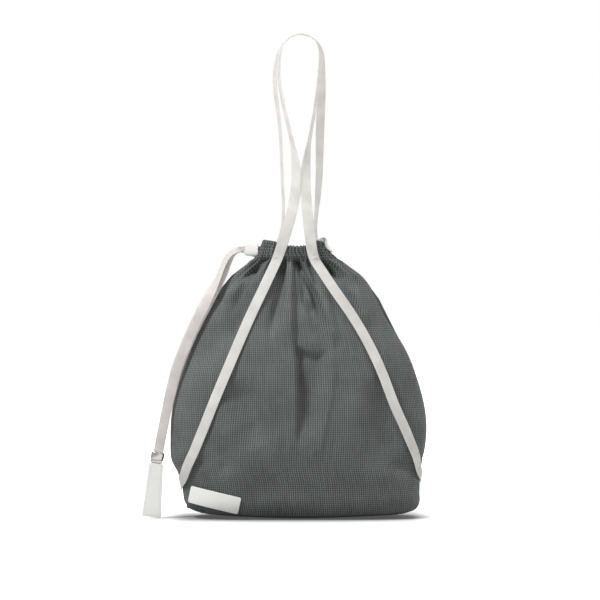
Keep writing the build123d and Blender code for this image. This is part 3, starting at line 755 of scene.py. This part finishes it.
def foot_binding(node):
    """Bound seam allowance that stands on the base inside the bag: a closed strip along its seam."""
    low, high = (np.array(corner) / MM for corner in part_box(node))
    ends = np.array([low, high])
    run = int(high[1] - low[1] > high[0] - low[0])
    stations = 61
    # which of the two ends each corner of the section has, across the strip and upwards
    across, upper = np.array([(0, 1, 1, 0), (0, 0, 1, 1)])
    if run == 1:
        across, upper = upper, across
    points = np.zeros((stations, 4, 3))
    points[..., run] = low[run] + np.linspace(0.03, 0.97, stations)[:, None] * (high - low)[run]
    points[..., 1 - run] = ends[across, 1 - run]
    foot = foot_lift(points[..., 0]) + 1.4
    points[..., 2] = foot + upper * np.maximum(high[2] - foot, 2.0)
    last = 4 * (stations - 1)
    caps = (3, 2, 1, 0), (last, last + 1, last + 2, last + 3)
    piece = mesh_piece(node + "_binding", points, grid_quads(stations, 4, wrap=True), BINDING, caps=caps)
    belongs(piece, "bag", "binding", node)


# ---------------------------------------------------------------- tapes
AROUND = 24                          # corners of a tape's section


def tape_section():
    """Offsets across and out of the tape's plane round its section: an oblong with round selvedges."""
    angle = np.linspace(0, 2 * pi, AROUND, endpoint=False)
    return (TAPE_WIDTH / 2 * squared_off(np.cos(angle), 0.3),
            TAPE_THICKNESS / 2 * squared_off(np.sin(angle), 0.55))


def free_tape(centre, across, narrowed=None):
    """Sections along a line in the air, each square to it, with an optional share of the full width."""
    flat, high = tape_section()
    along = unit(np.gradient(centre, axis=0))
    across = unit(across - along * np.sum(across * along, axis=1, keepdims=True))
    facing = np.cross(along, across)
    widths = np.ones(len(centre)) if narrowed is None else narrowed
    wide = flat[:, None] * across[:, None] * widths[:, None, None]
    return centre[:, None] + wide + high[:, None] * facing[:, None]


def tape_piece(name, sections, material, mirrored=False):
    """Skin round a tape's sections, capped at both ends, with each point's place on the flat tape."""
    flat, _ = tape_section()
    run = lengths(sections.mean(axis=1))
    flats = np.stack([np.broadcast_to(flat, sections.shape[:2]),
                      np.broadcast_to(run[:, None], sections.shape[:2])], axis=-1)
    quads = grid_quads(len(sections), AROUND, wrap=True)
    last = (len(sections) - 1) * AROUND
    caps = [range(AROUND - 1, -1, -1), range(last, last + AROUND)]
    if mirrored:
        quads, caps = quads[:, ::-1], [cap[::-1] for cap in caps]
    return mesh_piece(name, sections, quads, material, flats, caps)


def laid_tape(route, end, right):
    """Sections of webbing that follows the filled bag's front, walked in the order of the whole tape.

    The left one climbs from the side seam to its tack and the right one goes down to the seam.
    """
    line = smooth_line(route, 240)
    # the route is drawn as seen, and the front of the bag is nearer to the eye than its outline
    near = 1 - front_depth(line[:, 0], line[:, 1]) * MM / CAMERA_DISTANCE
    eye = CAMERA_PLACE[1] / MM
    line = np.stack([line[:, 0] * near, eye + (line[:, 1] - eye) * near], axis=1)
    flat = np.stack([away_from_seam(line[:, 0], line[:, 1], right), line[:, 1]], axis=1)
    flat = np.concatenate([flat, np.linspace(flat[-1], end, 60)[1:]])
    flat = evenly(softened(evenly(flat, 640), 14), 320)
    flat = flat if right else flat[::-1]

    def at(away, z):
        return on_surface(away, z, right)

    step = 0.5
    away, z = flat.T
    side = (at(away + step, z) - at(away - step, z)) / (2 * step)
    up = (at(away, z + step) - at(away, z - step)) / (2 * step)
    out = unit(np.cross(side, up))
    out *= -1 if right else 1
    centre = at(away, z)
    across = unit(np.cross(np.gradient(centre, axis=0), out))
    # how far a millimetre across the tape goes along the outline and up the bag
    ss, su, uu = np.sum(side * side, 1), np.sum(side * up, 1), np.sum(up * up, 1)
    a_s, a_u = np.sum(across * side, 1), np.sum(across * up, 1)
    bottom = ss * uu - su * su
    go_away, go_up = (a_s * uu - a_u * su) / bottom, (a_u * ss - a_s * su) / bottom
    offset, high = tape_section()
    lift = 0.45 + TAPE_THICKNESS / 2
    sections = np.empty((len(flat), AROUND, 3))
    for corner in range(AROUND):
        spot_away, spot_z = away + go_away * offset[corner], z + go_up * offset[corner]
        sections[:, corner] = at(spot_away, spot_z) + out * (lift - high[corner])
    return sections


def handle_line(loop, turns, stations):
    """Centre of a handle's tape and the direction of its width, from the left tack to the right one."""
    shoulder, foot_y = HANDLE_SHOULDER
    flat = smooth_line(loop, stations)
    lean = np.maximum(0, (flat[:, 1] - shoulder) / (HANDLE_TOP - shoulder))
    line = np.stack([flat[:, 0], -foot_y + lean * (foot_y - HANDLE_TOP_Y), flat[:, 1]], axis=1)
    share = np.linspace(0, 1, stations)
    span = np.clip(np.searchsorted(turns[0], share, side="right") - 1, 0, len(turns[0]) - 2)
    low, high = np.array(turns[0])[span], np.array(turns[0])[span + 1]
    start, end = np.array(turns[1])[span], np.array(turns[1])[span + 1]
    turn = np.radians(start + (end - start) * ease((share - low) / (high - low)))
    return line, np.stack([np.cos(turn), -np.sin(turn), np.zeros(stations)], axis=1)


def webbing(name, side, loop, turns, nodes):
    """One length of webbing: up the left of the panel, through the bar tack, round and down again."""
    left = laid_tape(STRAP_LEFT, SEAM_END_LEFT, False)
    right = laid_tape(STRAP_RIGHT, SEAM_END_RIGHT, True)
    over = free_tape(*handle_line(loop, turns, 420))
    sections = np.concatenate([left[:-2], over[3:-3], right[2:]])
    joined = softened(sections, 5)
    ends = np.ones(len(sections))
    ends[:8] = ends[-8:] = 0
    sections = sections + (joined - sections) * ends[:, None, None]
    sections[..., 1] = np.minimum(sections[..., 1], -0.2)
    sections[..., 1] *= -side
    piece = tape_piece(name, sections, WEBBING, mirrored=side > 0)
    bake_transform(piece)
    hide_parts(*nodes)


def route_line(name, route):
    """Even points along the route's NURBS spline, read from a curve with no bevel, in millimetres."""
    curve = bpy.data.curves.new(name, "CURVE")
    curve.dimensions = "3D"
    spline = curve.splines.new("NURBS")
    spline.points.add(len(route) - 1)
    spline.points.foreach_set("co", np.c_[route, np.ones(len(route))].ravel())
    spline.order_u = 3
    spline.use_endpoint_u = True
    curve.resolution_u = 24
    holder = bpy.data.objects.new(name, curve)
    mesh = bpy.data.meshes.new_from_object(holder)
    line = np.empty(len(mesh.vertices) * 3)
    mesh.vertices.foreach_get("co", line)
    bpy.data.objects.remove(holder)
    bpy.data.meshes.remove(mesh)
    return evenly(line.reshape(-1, 3) / MM, 220)


def tail_tape(name, route, side, turn_peak, node):
    """Hanging end of the drawstring, bunched where it leaves the guide and turned on edge below it.

    Its upper end is a half disc round the point that it swings about.
    """
    line = route_line(name + "_route", route)
    far = lengths(line)
    along = unit(np.gradient(line, axis=0))
    facing_front = unit(np.stack([along[:, 2], np.zeros(len(line)), -along[:, 0]], axis=1))
    turn = np.radians(np.interp(far, TWIST_AT, np.array(TWIST) * turn_peak))
    turn = softened(turn[:, None], 4)
    across = np.cos(turn) * facing_front + np.sin(turn) * np.array([0, 1.0, 0])
    # face to face while they are on edge
    facing = unit(np.cross(along, across))
    apart = side * np.sign(facing[:, 1:2]) * 0.4 * (1 - ease((far - 6) / 40))[:, None]
    centre = line + facing * apart * (1 - np.cos(turn))
    narrowed = BUNCHED + (1 - BUNCHED) * ease(far / 16)
    # drawn in a little over the slider's way, the last 95 mm, gently over the first 25 of them
    drawn_in, way, gently = 0.07, 95, 25
    narrowed *= 1 - drawn_in * ease((far - far[-1] + way) / gently)
    disc = TAPE_WIDTH / 2 * BUNCHED
    back = np.linspace(0.995, 0.08, 9)
    stub = line[0] - along[0] * disc * back[:, None]
    centre = np.concatenate([stub, centre])
    across = np.concatenate([np.repeat(across[:1], len(back), 0), across])
    narrowed = np.concatenate([BUNCHED * np.sqrt(1 - back**2), narrowed])
    piece = tape_piece(name, free_tape(centre, across, narrowed), DRAWSTRING)
    belongs(piece, "tail", "drawstring", node)


def neck_tape(side):
    """Half of the drawstring inside the casing, with its end out through the left guide."""
    rows, columns, out_columns = 9, 161, 26
    inset = 4.3
    rise = np.linspace(-1, 1, rows)[:, None]
    middle_z, middle_gap = GATHER + 8.2, 0.65
    heights = middle_z + rise[:, 0] * TAPE_WIDTH / 2
    x, y = outlines(heights, np.linspace(0, 1, columns))
    wall = np.stack([x, y, np.repeat(heights[:, None], columns, axis=1)], axis=-1) - outward(x, y) * inset
    wall[..., 1] = np.minimum(wall[..., 1], -middle_gap)
    wall = wall[:, :-3]
    share = np.linspace(0, 1, out_columns + 1)[1:]
    end_x = TAIL_FRONT[0][0] / MM
    start_x = wall[:, -1, :1]
    out_x = start_x + share * (end_x - start_x)
    bunched = 1 - (1 - BUNCHED) * ease((share - 0.35) / 0.65)
    out_z = middle_z + (EXIT_HEIGHT - middle_z) * ease(share * 1.3) + rise * TAPE_WIDTH / 2 * bunched
    end = np.stack([out_x, np.full_like(out_x, -middle_gap), out_z], axis=-1)
    # half disc round the swinging point
    disc = TAPE_WIDTH / 2 * BUNCHED
    past = np.linspace(0.1, 0.98, 8)
    cap_z = EXIT_HEIGHT + rise * disc * np.sqrt(1 - past**2)
    cap = np.stack([end_x - disc * past + 0 * rise, np.full_like(cap_z, -middle_gap), cap_z], axis=-1)
    sheet = np.concatenate([wall, end, cap], axis=1)
    sheet[..., 1] *= -side
    flats = np.stack([np.broadcast_to(rise * TAPE_WIDTH / 2, sheet.shape[:2]),
                      np.broadcast_to(lengths(sheet[rows // 2])[None, :], sheet.shape[:2])], axis=-1)
    quads = grid_quads(*sheet.shape[:2])
    if side < 0:
        quads = quads[:, ::-1]
    piece = mesh_piece(f"neck_tape_{'front' if side < 0 else 'back'}", sheet, quads, DRAWSTRING, flats)
    thicken(piece, TAPE_THICKNESS * 0.5, lean=0)
    belongs(piece, "bag", "drawstring", "drawstring_run")


# ---------------------------------------------------------------- leather
def rounded_outline(corners, radius, per_corner=9):
    """Outline of a polygon walked anticlockwise, each corner an arc that touches its two sides."""
    corners = np.asarray(corners, float)
    before, after = np.roll(corners, 1, axis=0), np.roll(corners, -1, axis=0)
    back, ahead = unit(before - corners), unit(after - corners)
    half = np.arccos(np.clip(np.sum(back * ahead, axis=1), -1, 1)) / 2
    centre = corners + unit(back + ahead) * (radius / np.sin(half))[:, None]
    start = corners + back * (radius / np.tan(half))[:, None] - centre
    turn = np.linspace(0, 1, per_corner) * (pi - 2 * half)[:, None]
    x = start[:, :1] * np.cos(turn) - start[:, 1:] * np.sin(turn)
    y = start[:, :1] * np.sin(turn) + start[:, 1:] * np.cos(turn)
    return (centre[:, None] + np.stack([x, y], axis=-1)).reshape(-1, 2)


def spaced_outline(corners, radius, count):
    """The rounded outline closed and divided into count equal steps."""
    outline = rounded_outline(corners, radius)
    return evenly(np.concatenate([outline, outline[:1]]), count + 1)[:-1]


def slab(outline, spine, section, rings=10):
    """A cut sheet of leather: rings of the outline drawn in towards a spine, low face to high face.

    section lists inset and height round the cut edge. Returns points as across, up, out.
    """
    steps = np.linspace(0, 1, rings)[:-1]
    inset, height = np.array(section).T
    centre = np.stack([np.clip(outline[:, 0], *spine[0]), np.clip(outline[:, 1], *spine[1])], axis=1)
    towards = centre - outline
    reach = np.linalg.norm(towards, axis=1, keepdims=True)
    edge = outline + towards / reach * inset[:, None, None]
    inner_low, inner_high = edge[0], edge[-1]
    low = inner_low + (centre - inner_low) * (1 - steps)[:, None, None]
    high = inner_high + (centre - inner_high) * steps[1:, None, None]
    end = centre[None]
    plan = np.concatenate([end, low[1:], edge, high, end])
    rise = np.pad(height, rings - 1, mode="edge")[:, None, None]
    return np.concatenate([plan, rise + 0 * plan[..., :1]], axis=-1)


def cut_edge(thickness, radius, plies=1):
    """Inset and height round a cut edge with soft arrises, and a fine groove between two plies."""
    angle = np.linspace(0, pi / 2, 5)
    low = [(radius * (1 - np.sin(a)), radius * (1 - np.cos(a))) for a in angle]
    high = [(inset, thickness - height) for inset, height in low[::-1]]
    groove = []
    if plies == 2:
        groove = [(0.0, thickness / 2 - 0.25), (0.28, thickness / 2), (0.0, thickness / 2 + 0.25)]
    return low + groove + high


def leather_piece(name, points, nodes, body):
    """Closed skin of a leather piece, from rings of points whose first and last ones close it."""
    quads = grid_quads(*points.shape[:2], wrap=True)
    piece = mesh_piece(name, points, quads, LEATHER_FINISH, merge=True)
    return belongs(piece, body, "white_leather", *nodes)


def label():
    """Bare leather patch lying on the lower left of the front, following the cloth."""
    half_x, half_z = LABEL_SIZE[0] / 2, LABEL_SIZE[1] / 2
    corners = ((-half_x, -half_z), (half_x, -half_z), (half_x, half_z), (-half_x, half_z))
    outline = spaced_outline(corners, 2.2, 132)
    spine = ((-half_x + half_z, half_x - half_z), (0.0, 0.0))
    flat = slab(outline, spine, cut_edge(LEATHER * 0.8, 0.45), rings=14)
    tilt = radians(LABEL_TILT)
    x = LABEL_PLACE[0] + flat[..., 0] * np.cos(tilt) - flat[..., 1] * np.sin(tilt)
    z = LABEL_PLACE[1] + flat[..., 0] * np.sin(tilt) + flat[..., 1] * np.cos(tilt)
    y = -front_depth(x, z) - 0.35 - flat[..., 2]
    leather_piece("label", np.stack([x, y, z], axis=-1), ["label_patch"], "bag")


def tab_frame(points):
    """Turns across, up, out on the pull tab into place: it hangs a few degrees off upright."""
    tilt = radians(-TAB_TILT)
    across, up, out = points[..., 0], points[..., 1], points[..., 2]
    x = TAB_TOP[0] + across * np.cos(tilt) - up * np.sin(tilt)
    z = TAB_TOP[2] + across * np.sin(tilt) + up * np.cos(tilt)
    sway = 1.2 * np.sin(pi * np.clip(-up / TAB_LENGTH, 0, 1))
    return np.stack([x, TAB_TOP[1] - out + sway, z], axis=-1)


def pull_tab():
    """Two plies of leather sewn together over the tape ends, wider at the foot."""
    top, foot = TAB_WIDTHS[0] / 2, TAB_WIDTHS[1] / 2
    corners = ((-foot, -TAB_LENGTH), (foot, -TAB_LENGTH), (top, 0.0), (-top, 0.0))
    outline = spaced_outline(corners, 1.6, 150)
    spine = ((0.0, 0.0), (-TAB_LENGTH + foot, -top))
    flat = slab(outline, spine, cut_edge(2 * LEATHER, 0.5, plies=2), rings=10)
    edge_dip = np.clip(np.minimum(np.abs(flat[..., 1]), 60) / 60, 0, 1)
    flat[..., 2] = (flat[..., 2] - LEATHER) * (0.96 + 0.04 * edge_dip)
    return leather_piece("pull_tab", tab_frame(flat), ["pull_tab_front", "pull_tab_back"], "tail")


def guide_left():
    """Leather sleeve folded over the casing's end: a flat tube along x with rolled lips."""
    around = 64
    angle = np.linspace(0, 2 * pi, around, endpoint=False)
    span = GUIDE_SPAN[1] - GUIDE_SPAN[0]
    # share of the length, half depth, half height of the wall's rows, outside then inside
    outside = np.array([(0.0, 6.2, 9.6), (0.2, 5.4, 9.5), (0.5, 4.3, 9.2),
                        (0.8, 3.4, 8.6), (0.95, 3.0, 8.2), (1.0, 2.7, 7.9)])
    inside = np.array([(0.985, 1.9, 7.1), (0.9, 1.8, 7.0), (0.5, 2.6, 7.6), (0.0, 4.6, 8.2)])
    rows = np.concatenate([cubic(np.linspace(0, 1, 6), outside, np.linspace(0, 1, 22)), inside])
    x = GUIDE_SPAN[1] - rows[:, :1] * span
    power = 0.62
    y = rows[:, 1:2] * squared_off(np.cos(angle), power)
    z = EXIT_HEIGHT + 1.2 + rows[:, 2:3] * squared_off(np.sin(angle), power)
    points = np.stack([np.broadcast_to(x, y.shape), y, z], axis=-1)
    points = np.concatenate([points, points[:1]])
    leather_piece("guide_left", points[:, ::-1], ["cord_guide_left"], "bag")


def guide_right():
    """Curved leather stay round the right end of the casing, with a rounded top."""
    columns, rows = 56, 18
    angle = np.radians(np.linspace(-12, 54, columns))
    share = np.linspace(0, 1, columns)
    foot = GATHER + 8
    middle, half, depth, _ = body_at(np.linspace(foot, foot + 14, rows))
    top = foot + 8.0 + 10.0 * np.sin(pi * np.clip(share, 0, 1)) ** 0.5
    rise = np.linspace(0, 1, rows)[:, None]
    z = foot + rise * (top - foot)
    shells = []
    for out in (0.5, 0.5 + LEATHER):
        x = middle[:, None] + (half[:, None] + out) * np.cos(angle)
        y = (depth[:, None] + out) * np.sin(angle)
        shells.append(np.stack([x, y, z + 0 * x], axis=-1))
    inner, outer = shells
    ring = np.concatenate([outer, inner[:, ::-1]], axis=1)
    closed_foot, closed_head = ((row + row[:, ::-1]) / 2 for row in (ring[:1], ring[-1:]))
    points = np.concatenate([closed_foot, ring, closed_head])
    piece = leather_piece("guide_right", points, ["cord_guide_right"], "bag")
    soft = piece.modifiers.new("soft_edge", "BEVEL")
    soft.width = 0.35 * MM
    soft.segments = 2
    soft.limit_method = "ANGLE"


# ---------------------------------------------------------------- slider
SLIDER_LEAN = 10.4                   # degrees from upright, as the tapes run through it
SLIDER_FOOT = 1.1                    # its lowest face above the top of the tab
SLIDER_BEAD = (7.9, 4.3)             # half width and half depth, as for the collar and the slot
SLIDER_COLLAR = (7.1, 2.15)
SLIDER_SLOT = (6.65, 1.7)


def oval_ring(half_x, half_y, power, height):
    """Points round a superellipse at one height."""
    angle = np.linspace(0, 2 * pi, 72, endpoint=False)
    return np.stack([half_x * squared_off(np.cos(angle), power), half_y * squared_off(np.sin(angle), power),
                     np.full(72, height)], axis=-1)


def metal_slider():
    """Flat oval bead on a short collar, one turned piece with a slot through it for both tapes."""
    collar_high, bead_high, soft = 3.2, 9.0, 0.9
    top = collar_high + bead_high
    arc = np.linspace(0, pi / 2, 6)
    # height, share from the collar's section to the bead's, and inset, up the outside
    profile = [(0.0, 0.0, 0.3), (0.1, 0.0, 0.1), (0.3, 0.0, 0.0), (2.7, 0.0, 0.0), (3.0, 0.0, 0.1)]
    profile += [(collar_high + soft * (1 - np.cos(a)), 1.0, soft * (1 - np.sin(a))) for a in arc]
    profile += [(top - soft * (1 - np.sin(a)), 1.0, soft * (1 - np.cos(a))) for a in arc]
    collar, bead, slot = np.array(SLIDER_COLLAR), np.array(SLIDER_BEAD), np.array(SLIDER_SLOT)
    rings = [oval_ring(*(collar + share * (bead - collar) - inset), 2 / (2.6 - 0.6 * share), height)
             for height, share, inset in profile]
    # height and flare of the slot's two mouths, from the top down
    rings += [oval_ring(*(slot + flare), 0.25, height)
              for height, flare in ((top - 0.2, 0.3), (top - 0.6, 0.0), (0.6, 0.0), (0.2, 0.15))]
    rings = np.array(rings + rings[:1])
    lean = radians(SLIDER_LEAN)
    up = rings[..., 2] + SLIDER_FOOT
    x = TAB_TOP[0] + rings[..., 0] * np.cos(lean) + up * np.sin(lean)
    z = TAB_TOP[2] - rings[..., 0] * np.sin(lean) + up * np.cos(lean)
    points = np.stack([x, TAB_TOP[1] + rings[..., 1], z], axis=-1)
    piece = mesh_piece("slider", points, grid_quads(*points.shape[:2], wrap=True), NICKEL, merge=True)
    return belongs(piece, "slider", "plated_metal", "cord_slider")


# ---------------------------------------------------------------- stitches
def stitch_form():
    """One stitch of unit length along x: a slim capsule, thicker in its middle, sunk at its ends."""
    around, rows = 8, 9
    along = np.linspace(-0.5, 0.5, rows)[:, None]
    angle = np.linspace(0, 2 * pi, around, endpoint=False)[None, :]
    radius = 0.5 * np.sqrt(np.maximum(1 - (2 * along) ** 4, 0.0)) + 1e-4
    x = along + 0 * angle
    form = np.stack([x, radius * np.cos(angle), radius * np.sin(angle) - 0.3 * (2 * along) ** 2], axis=-1)
    return form, grid_quads(rows, around, wrap=True), around


def stitches(name, middles, along, out, length, thickness, material, body, slot):
    """Stitches at the given middles, each along its own direction and lying against the piece."""
    form, quads, around = stitch_form()
    along = unit(along)
    out = unit(out - along * np.sum(out * along, axis=1, keepdims=True))
    side = np.cross(out, along)
    scaled = form * np.array([length, thickness, thickness])
    points = middles[:, None, None] + (scaled[None, ..., 0:1] * along[:, None, None]
                                       + scaled[None, ..., 1:2] * side[:, None, None]
                                       + scaled[None, ..., 2:3] * out[:, None, None])
    per = form.shape[0] * form.shape[1]
    numbers = (np.arange(len(middles)) * per)[:, None, None]
    every = (quads[None] + numbers).reshape(-1, 4)
    first = np.arange(around)
    last = (per - around + first)[::-1]
    caps = np.concatenate([first + numbers[:, 0], last + numbers[:, 0]])
    return belongs(mesh_piece(name, points, every, material, caps=caps), body, slot)


def tab_stitches(side):
    """Saddle stitches down both long edges and across the foot of the pull tab's face."""
    count, inset, first = 45, 2.8, -2.5
    top, foot = TAB_WIDTHS[0] / 2 - inset, TAB_WIDTHS[1] / 2 - inset
    path = [(-top, first), (-foot, -TAB_LENGTH + inset), (foot, -TAB_LENGTH + inset), (top, first)]
    line = np.concatenate([np.linspace(a, b, 60) for a, b in zip(path[:-1], path[1:])])
    line = evenly(line, 2 * count + 1)
    out = np.full((count, 1), side * (LEATHER + 0.02))
    place = tab_frame(np.concatenate([line[1::2], out], axis=1))
    ahead = tab_frame(np.concatenate([line[1::2] + (line[2::2] - line[:-2:2]) * 0.1, out], axis=1))
    facing = np.broadcast_to([0.0, -side, 0.0], place.shape)
    return stitches(f"tab_stitches_{'front' if side > 0 else 'back'}", place, ahead - place, facing,
                    2.5, 0.62, WHITE_THREAD, "tail", "white_leather")


def bar_tack(name, centre, slope, side):
    """Bar of white thread across the webbing at the gather."""
    count = 7
    turn = radians(slope)
    across = np.array([np.cos(turn), 0.0, np.sin(turn)])
    rise = np.array([-np.sin(turn), 0.0, np.cos(turn)])
    middles = np.array([centre[0], 0.0, centre[1]]) + np.linspace(-1, 1, count)[:, None] * 0.9 * rise
    middles[:, 1] = side * (HANDLE_SHOULDER[1] + TAPE_THICKNESS / 2 + 0.05)
    along = across + 0.02 * np.where(np.arange(count) % 2, 1, -1)[:, None] * rise
    facing = np.broadcast_to([0.0, float(side), 0.0], middles.shape)
    stitches(name, middles, along, facing, TAPE_WIDTH - 0.8, 0.42, WHITE_THREAD, "bag", "binding")


def gather_stitches(name, wall):
    """Lockstitches round the neck that hold the gathers, one to each few millimetres of cloth."""
    count, neck_middle = 44, np.array([-3.4, 0, GATHER])
    row = np.argmin(np.abs(wall[:, 0, 2] - GATHER))
    even = evenly(softened(wall[row], 2), 2 * count + 1)
    middles, along = even[1::2], even[2::2] - even[:-2:2]
    out = np.stack([along[:, 1], -along[:, 0], np.zeros(len(along))], axis=1)
    out *= np.sign(np.sum(out * (middles - neck_middle), axis=1))[:, None]
    stitches(name, middles + unit(out) * 0.25, along, out, 2.3, 0.45, DARK_THREAD, "bag", "binding")


# ---------------------------------------------------------------- the object
front_wall = cloth("front_cloth", -1, 5, FRONT_FOLDS, ("front_panel", "front_casing"))
back_wall = cloth("back_cloth", 1, 23, BACK_FOLDS, ("back_panel", "back_casing"))
base_cloth()

webbing("front_webbing", -1, FRONT_LOOP, FRONT_TURNS,
        ("strap_front_left", "strap_front_right", "front_handle"))
webbing("back_webbing", 1, BACK_LOOP, BACK_TURNS,
        ("strap_back_left", "strap_back_right", "back_handle"))

tab = pull_tab()
tab_pieces = [tab, tab_stitches(1), tab_stitches(-1)]
slider = metal_slider()
tail_tape("tail_front", TAIL_FRONT, -1, 64, "tail_tape_front")
tail_tape("tail_back", TAIL_BACK, 1, 60, "tail_tape_back")
neck_tape(-1)
neck_tape(1)

label()
guide_left()
guide_right()
for side, face in ((-1, "front"), (1, "back")):
    bar_tack(f"bar_tack_{face}_left", TACK_LEFT, -15, side)
    bar_tack(f"bar_tack_{face}_right", TACK_RIGHT, 2, side)
gather_stitches("gather_stitches_front", front_wall)
gather_stitches("gather_stitches_back", back_wall)

for node in ("base_seam", "corner_seam_left", "corner_seam_right"):
    foot_binding(node)
for node in ("side_seam_left", "side_seam_right"):
    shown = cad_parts[node]
    shown.data.materials.clear()
    shown.data.materials.append(BINDING)


# ---------------------------------------------------------------- studio
VIEW_WIDTH = 0.720                   # what the camera takes in at the object
SENSOR = 36.0


def camera():
    """Level camera in front of the bag, with the lens that takes in VIEW_WIDTH at its distance."""
    data = bpy.data.cameras.new("camera")
    data.sensor_width = SENSOR
    data.lens = SENSOR * CAMERA_DISTANCE / VIEW_WIDTH
    data.clip_end = 60.0
    shown = bpy.data.objects.new("camera", data)
    shown.location = (CAMERA_PLACE[0], -CAMERA_DISTANCE, CAMERA_PLACE[1])
    shown.rotation_euler = (pi / 2, 0, 0)
    bpy.context.scene.collection.objects.link(shown)
    bpy.context.scene.camera = shown


def softbox(name, place, target, size, power):
    """Square area lamp aimed at a point of the object."""
    data = bpy.data.lights.new(name, "AREA")
    data.shape = "SQUARE"
    data.size = size
    data.energy = power
    lamp = bpy.data.objects.new(name, data)
    aim = np.array(target) - np.array(place)
    lamp.location = place
    lamp.rotation_euler = (np.arctan2(np.hypot(aim[0], aim[1]), -aim[2]), 0, np.arctan2(-aim[0], aim[1]))
    bpy.context.scene.collection.objects.link(lamp)


def seen_rays(tree):
    """1 for rays that show the background: straight from the camera, mirrored or through glass."""
    path = add(tree, "ShaderNodeLightPath").outputs
    mirrored = add(tree, "ShaderNodeMath", {0: path["Is Camera Ray"], 1: path["Is Glossy Ray"]},
                   operation="MAXIMUM")
    return add(tree, "ShaderNodeMath", {0: mirrored, 1: path["Is Transmission Ray"]},
               operation="MAXIMUM")


def studio_world():
    """White to the eye, a plain soft level for the light on the object."""
    world = bpy.data.worlds.new("studio")
    world.use_nodes = True
    tree = world.node_tree
    tree.nodes.clear()
    level = add(tree, "ShaderNodeMapRange", {"Value": seen_rays(tree), "To Min": 0.20, "To Max": 1.0})
    glow = add(tree, "ShaderNodeBackground", {"Color": (1, 1, 1, 1), "Strength": level})
    add(tree, "ShaderNodeOutputWorld", {"Surface": glow})
    bpy.context.scene.world = world


SHADOW_FOOT = (0.128, 0.03, 0.0)     # half width and half depth of the shadow's darkest part, in metres
SHADOW_FADE = (20.0, 5.5, 0.0)       # one over the lengths in metres in which it fades away


def white_paper(tree):
    """Matt white paper that keeps the bag's soft shadow, deepened by a painted shadow round its foot, and
    goes over into the white around it.
    """
    place = add(tree, "ShaderNodeTexCoord").outputs["Object"]
    fibre = add(tree, "ShaderNodeTexNoise", {"Vector": place, "Scale": 220.0, "Detail": 2.0})
    tone = add(tree, "ShaderNodeMapRange", {"Value": fibre, "To Min": 0.70, "To Max": 0.74})
    # occlusion darkens the paper's colour near the bag: painted shade
    occlusion_for_painted_shade = add(tree, "ShaderNodeAmbientOcclusion", {"Distance": 0.35})
    hidden = add(tree, "ShaderNodeMapRange", {"Value": occlusion_for_painted_shade.outputs["AO"], "From Min": 0.5,
                                              "From Max": 0.95, "To Min": 0.42, "To Max": 1.0})
    tone = add(tree, "ShaderNodeMath", {0: tone, 1: hidden}, operation="MULTIPLY")
    matt = add(tree, "ShaderNodeBsdfDiffuse", {"Color": tone})
    # distance from the bag's foot, in shares of the shadow's reach to the sides and to the front
    away = place
    for operation, value in (("ABSOLUTE", None), ("SUBTRACT", SHADOW_FOOT), ("MAXIMUM", (0.0, 0.0, 0.0)),
                             ("MULTIPLY", SHADOW_FADE), ("LENGTH", None)):
        away = add(tree, "ShaderNodeVectorMath", {0: away} if value is None else {0: away, 1: value},
                   operation=operation)
    glow = add(tree, "ShaderNodeMapRange", {"Value": away.outputs["Value"], "To Min": 0.2, "To Max": 1.3},
               interpolation_type="SMOOTHSTEP")
    # the glow for seen rays is turned down near the foot and where occluded: a painted shadow
    strength = seen_rays(tree)
    for factor in (glow, hidden):
        strength = add(tree, "ShaderNodeMath", {0: strength, 1: factor}, operation="MULTIPLY")
    glow_with_painted_shadow = add(tree, "ShaderNodeEmission", {"Color": (1, 1, 1, 1), "Strength": strength})
    return add(tree, "ShaderNodeAddShader", {0: matt, 1: glow_with_painted_shadow})


def floor():
    """Level paper sweep, 16 m wide."""
    half = 8000.0
    corners = [(-half, -half, 0), (half, -half, 0), (half, half, 0), (-half, half, 0)]
    mesh_piece("paper_sweep", corners, [(0, 1, 2, 3)], new_material("white_paper", white_paper))


bpy.context.scene.view_settings.view_transform = "Standard"
camera()
studio_world()
floor()
softbox("key", (-2.02, -1.65, 3.33), (0, 0, 0.25), 0.9, 150.0)
softbox("fill", (0.9, -2.8, 0.9), (0, 0, 0.25), 1.6, 10.0)
softbox("top", (0.75, -0.3, 3.6), (0, 0, 0.2), 1.2, 48.0)
softbox("right_side", (2.2, 0.1, 1.1), (0, 0, 0.3), 1.0, 10.0)
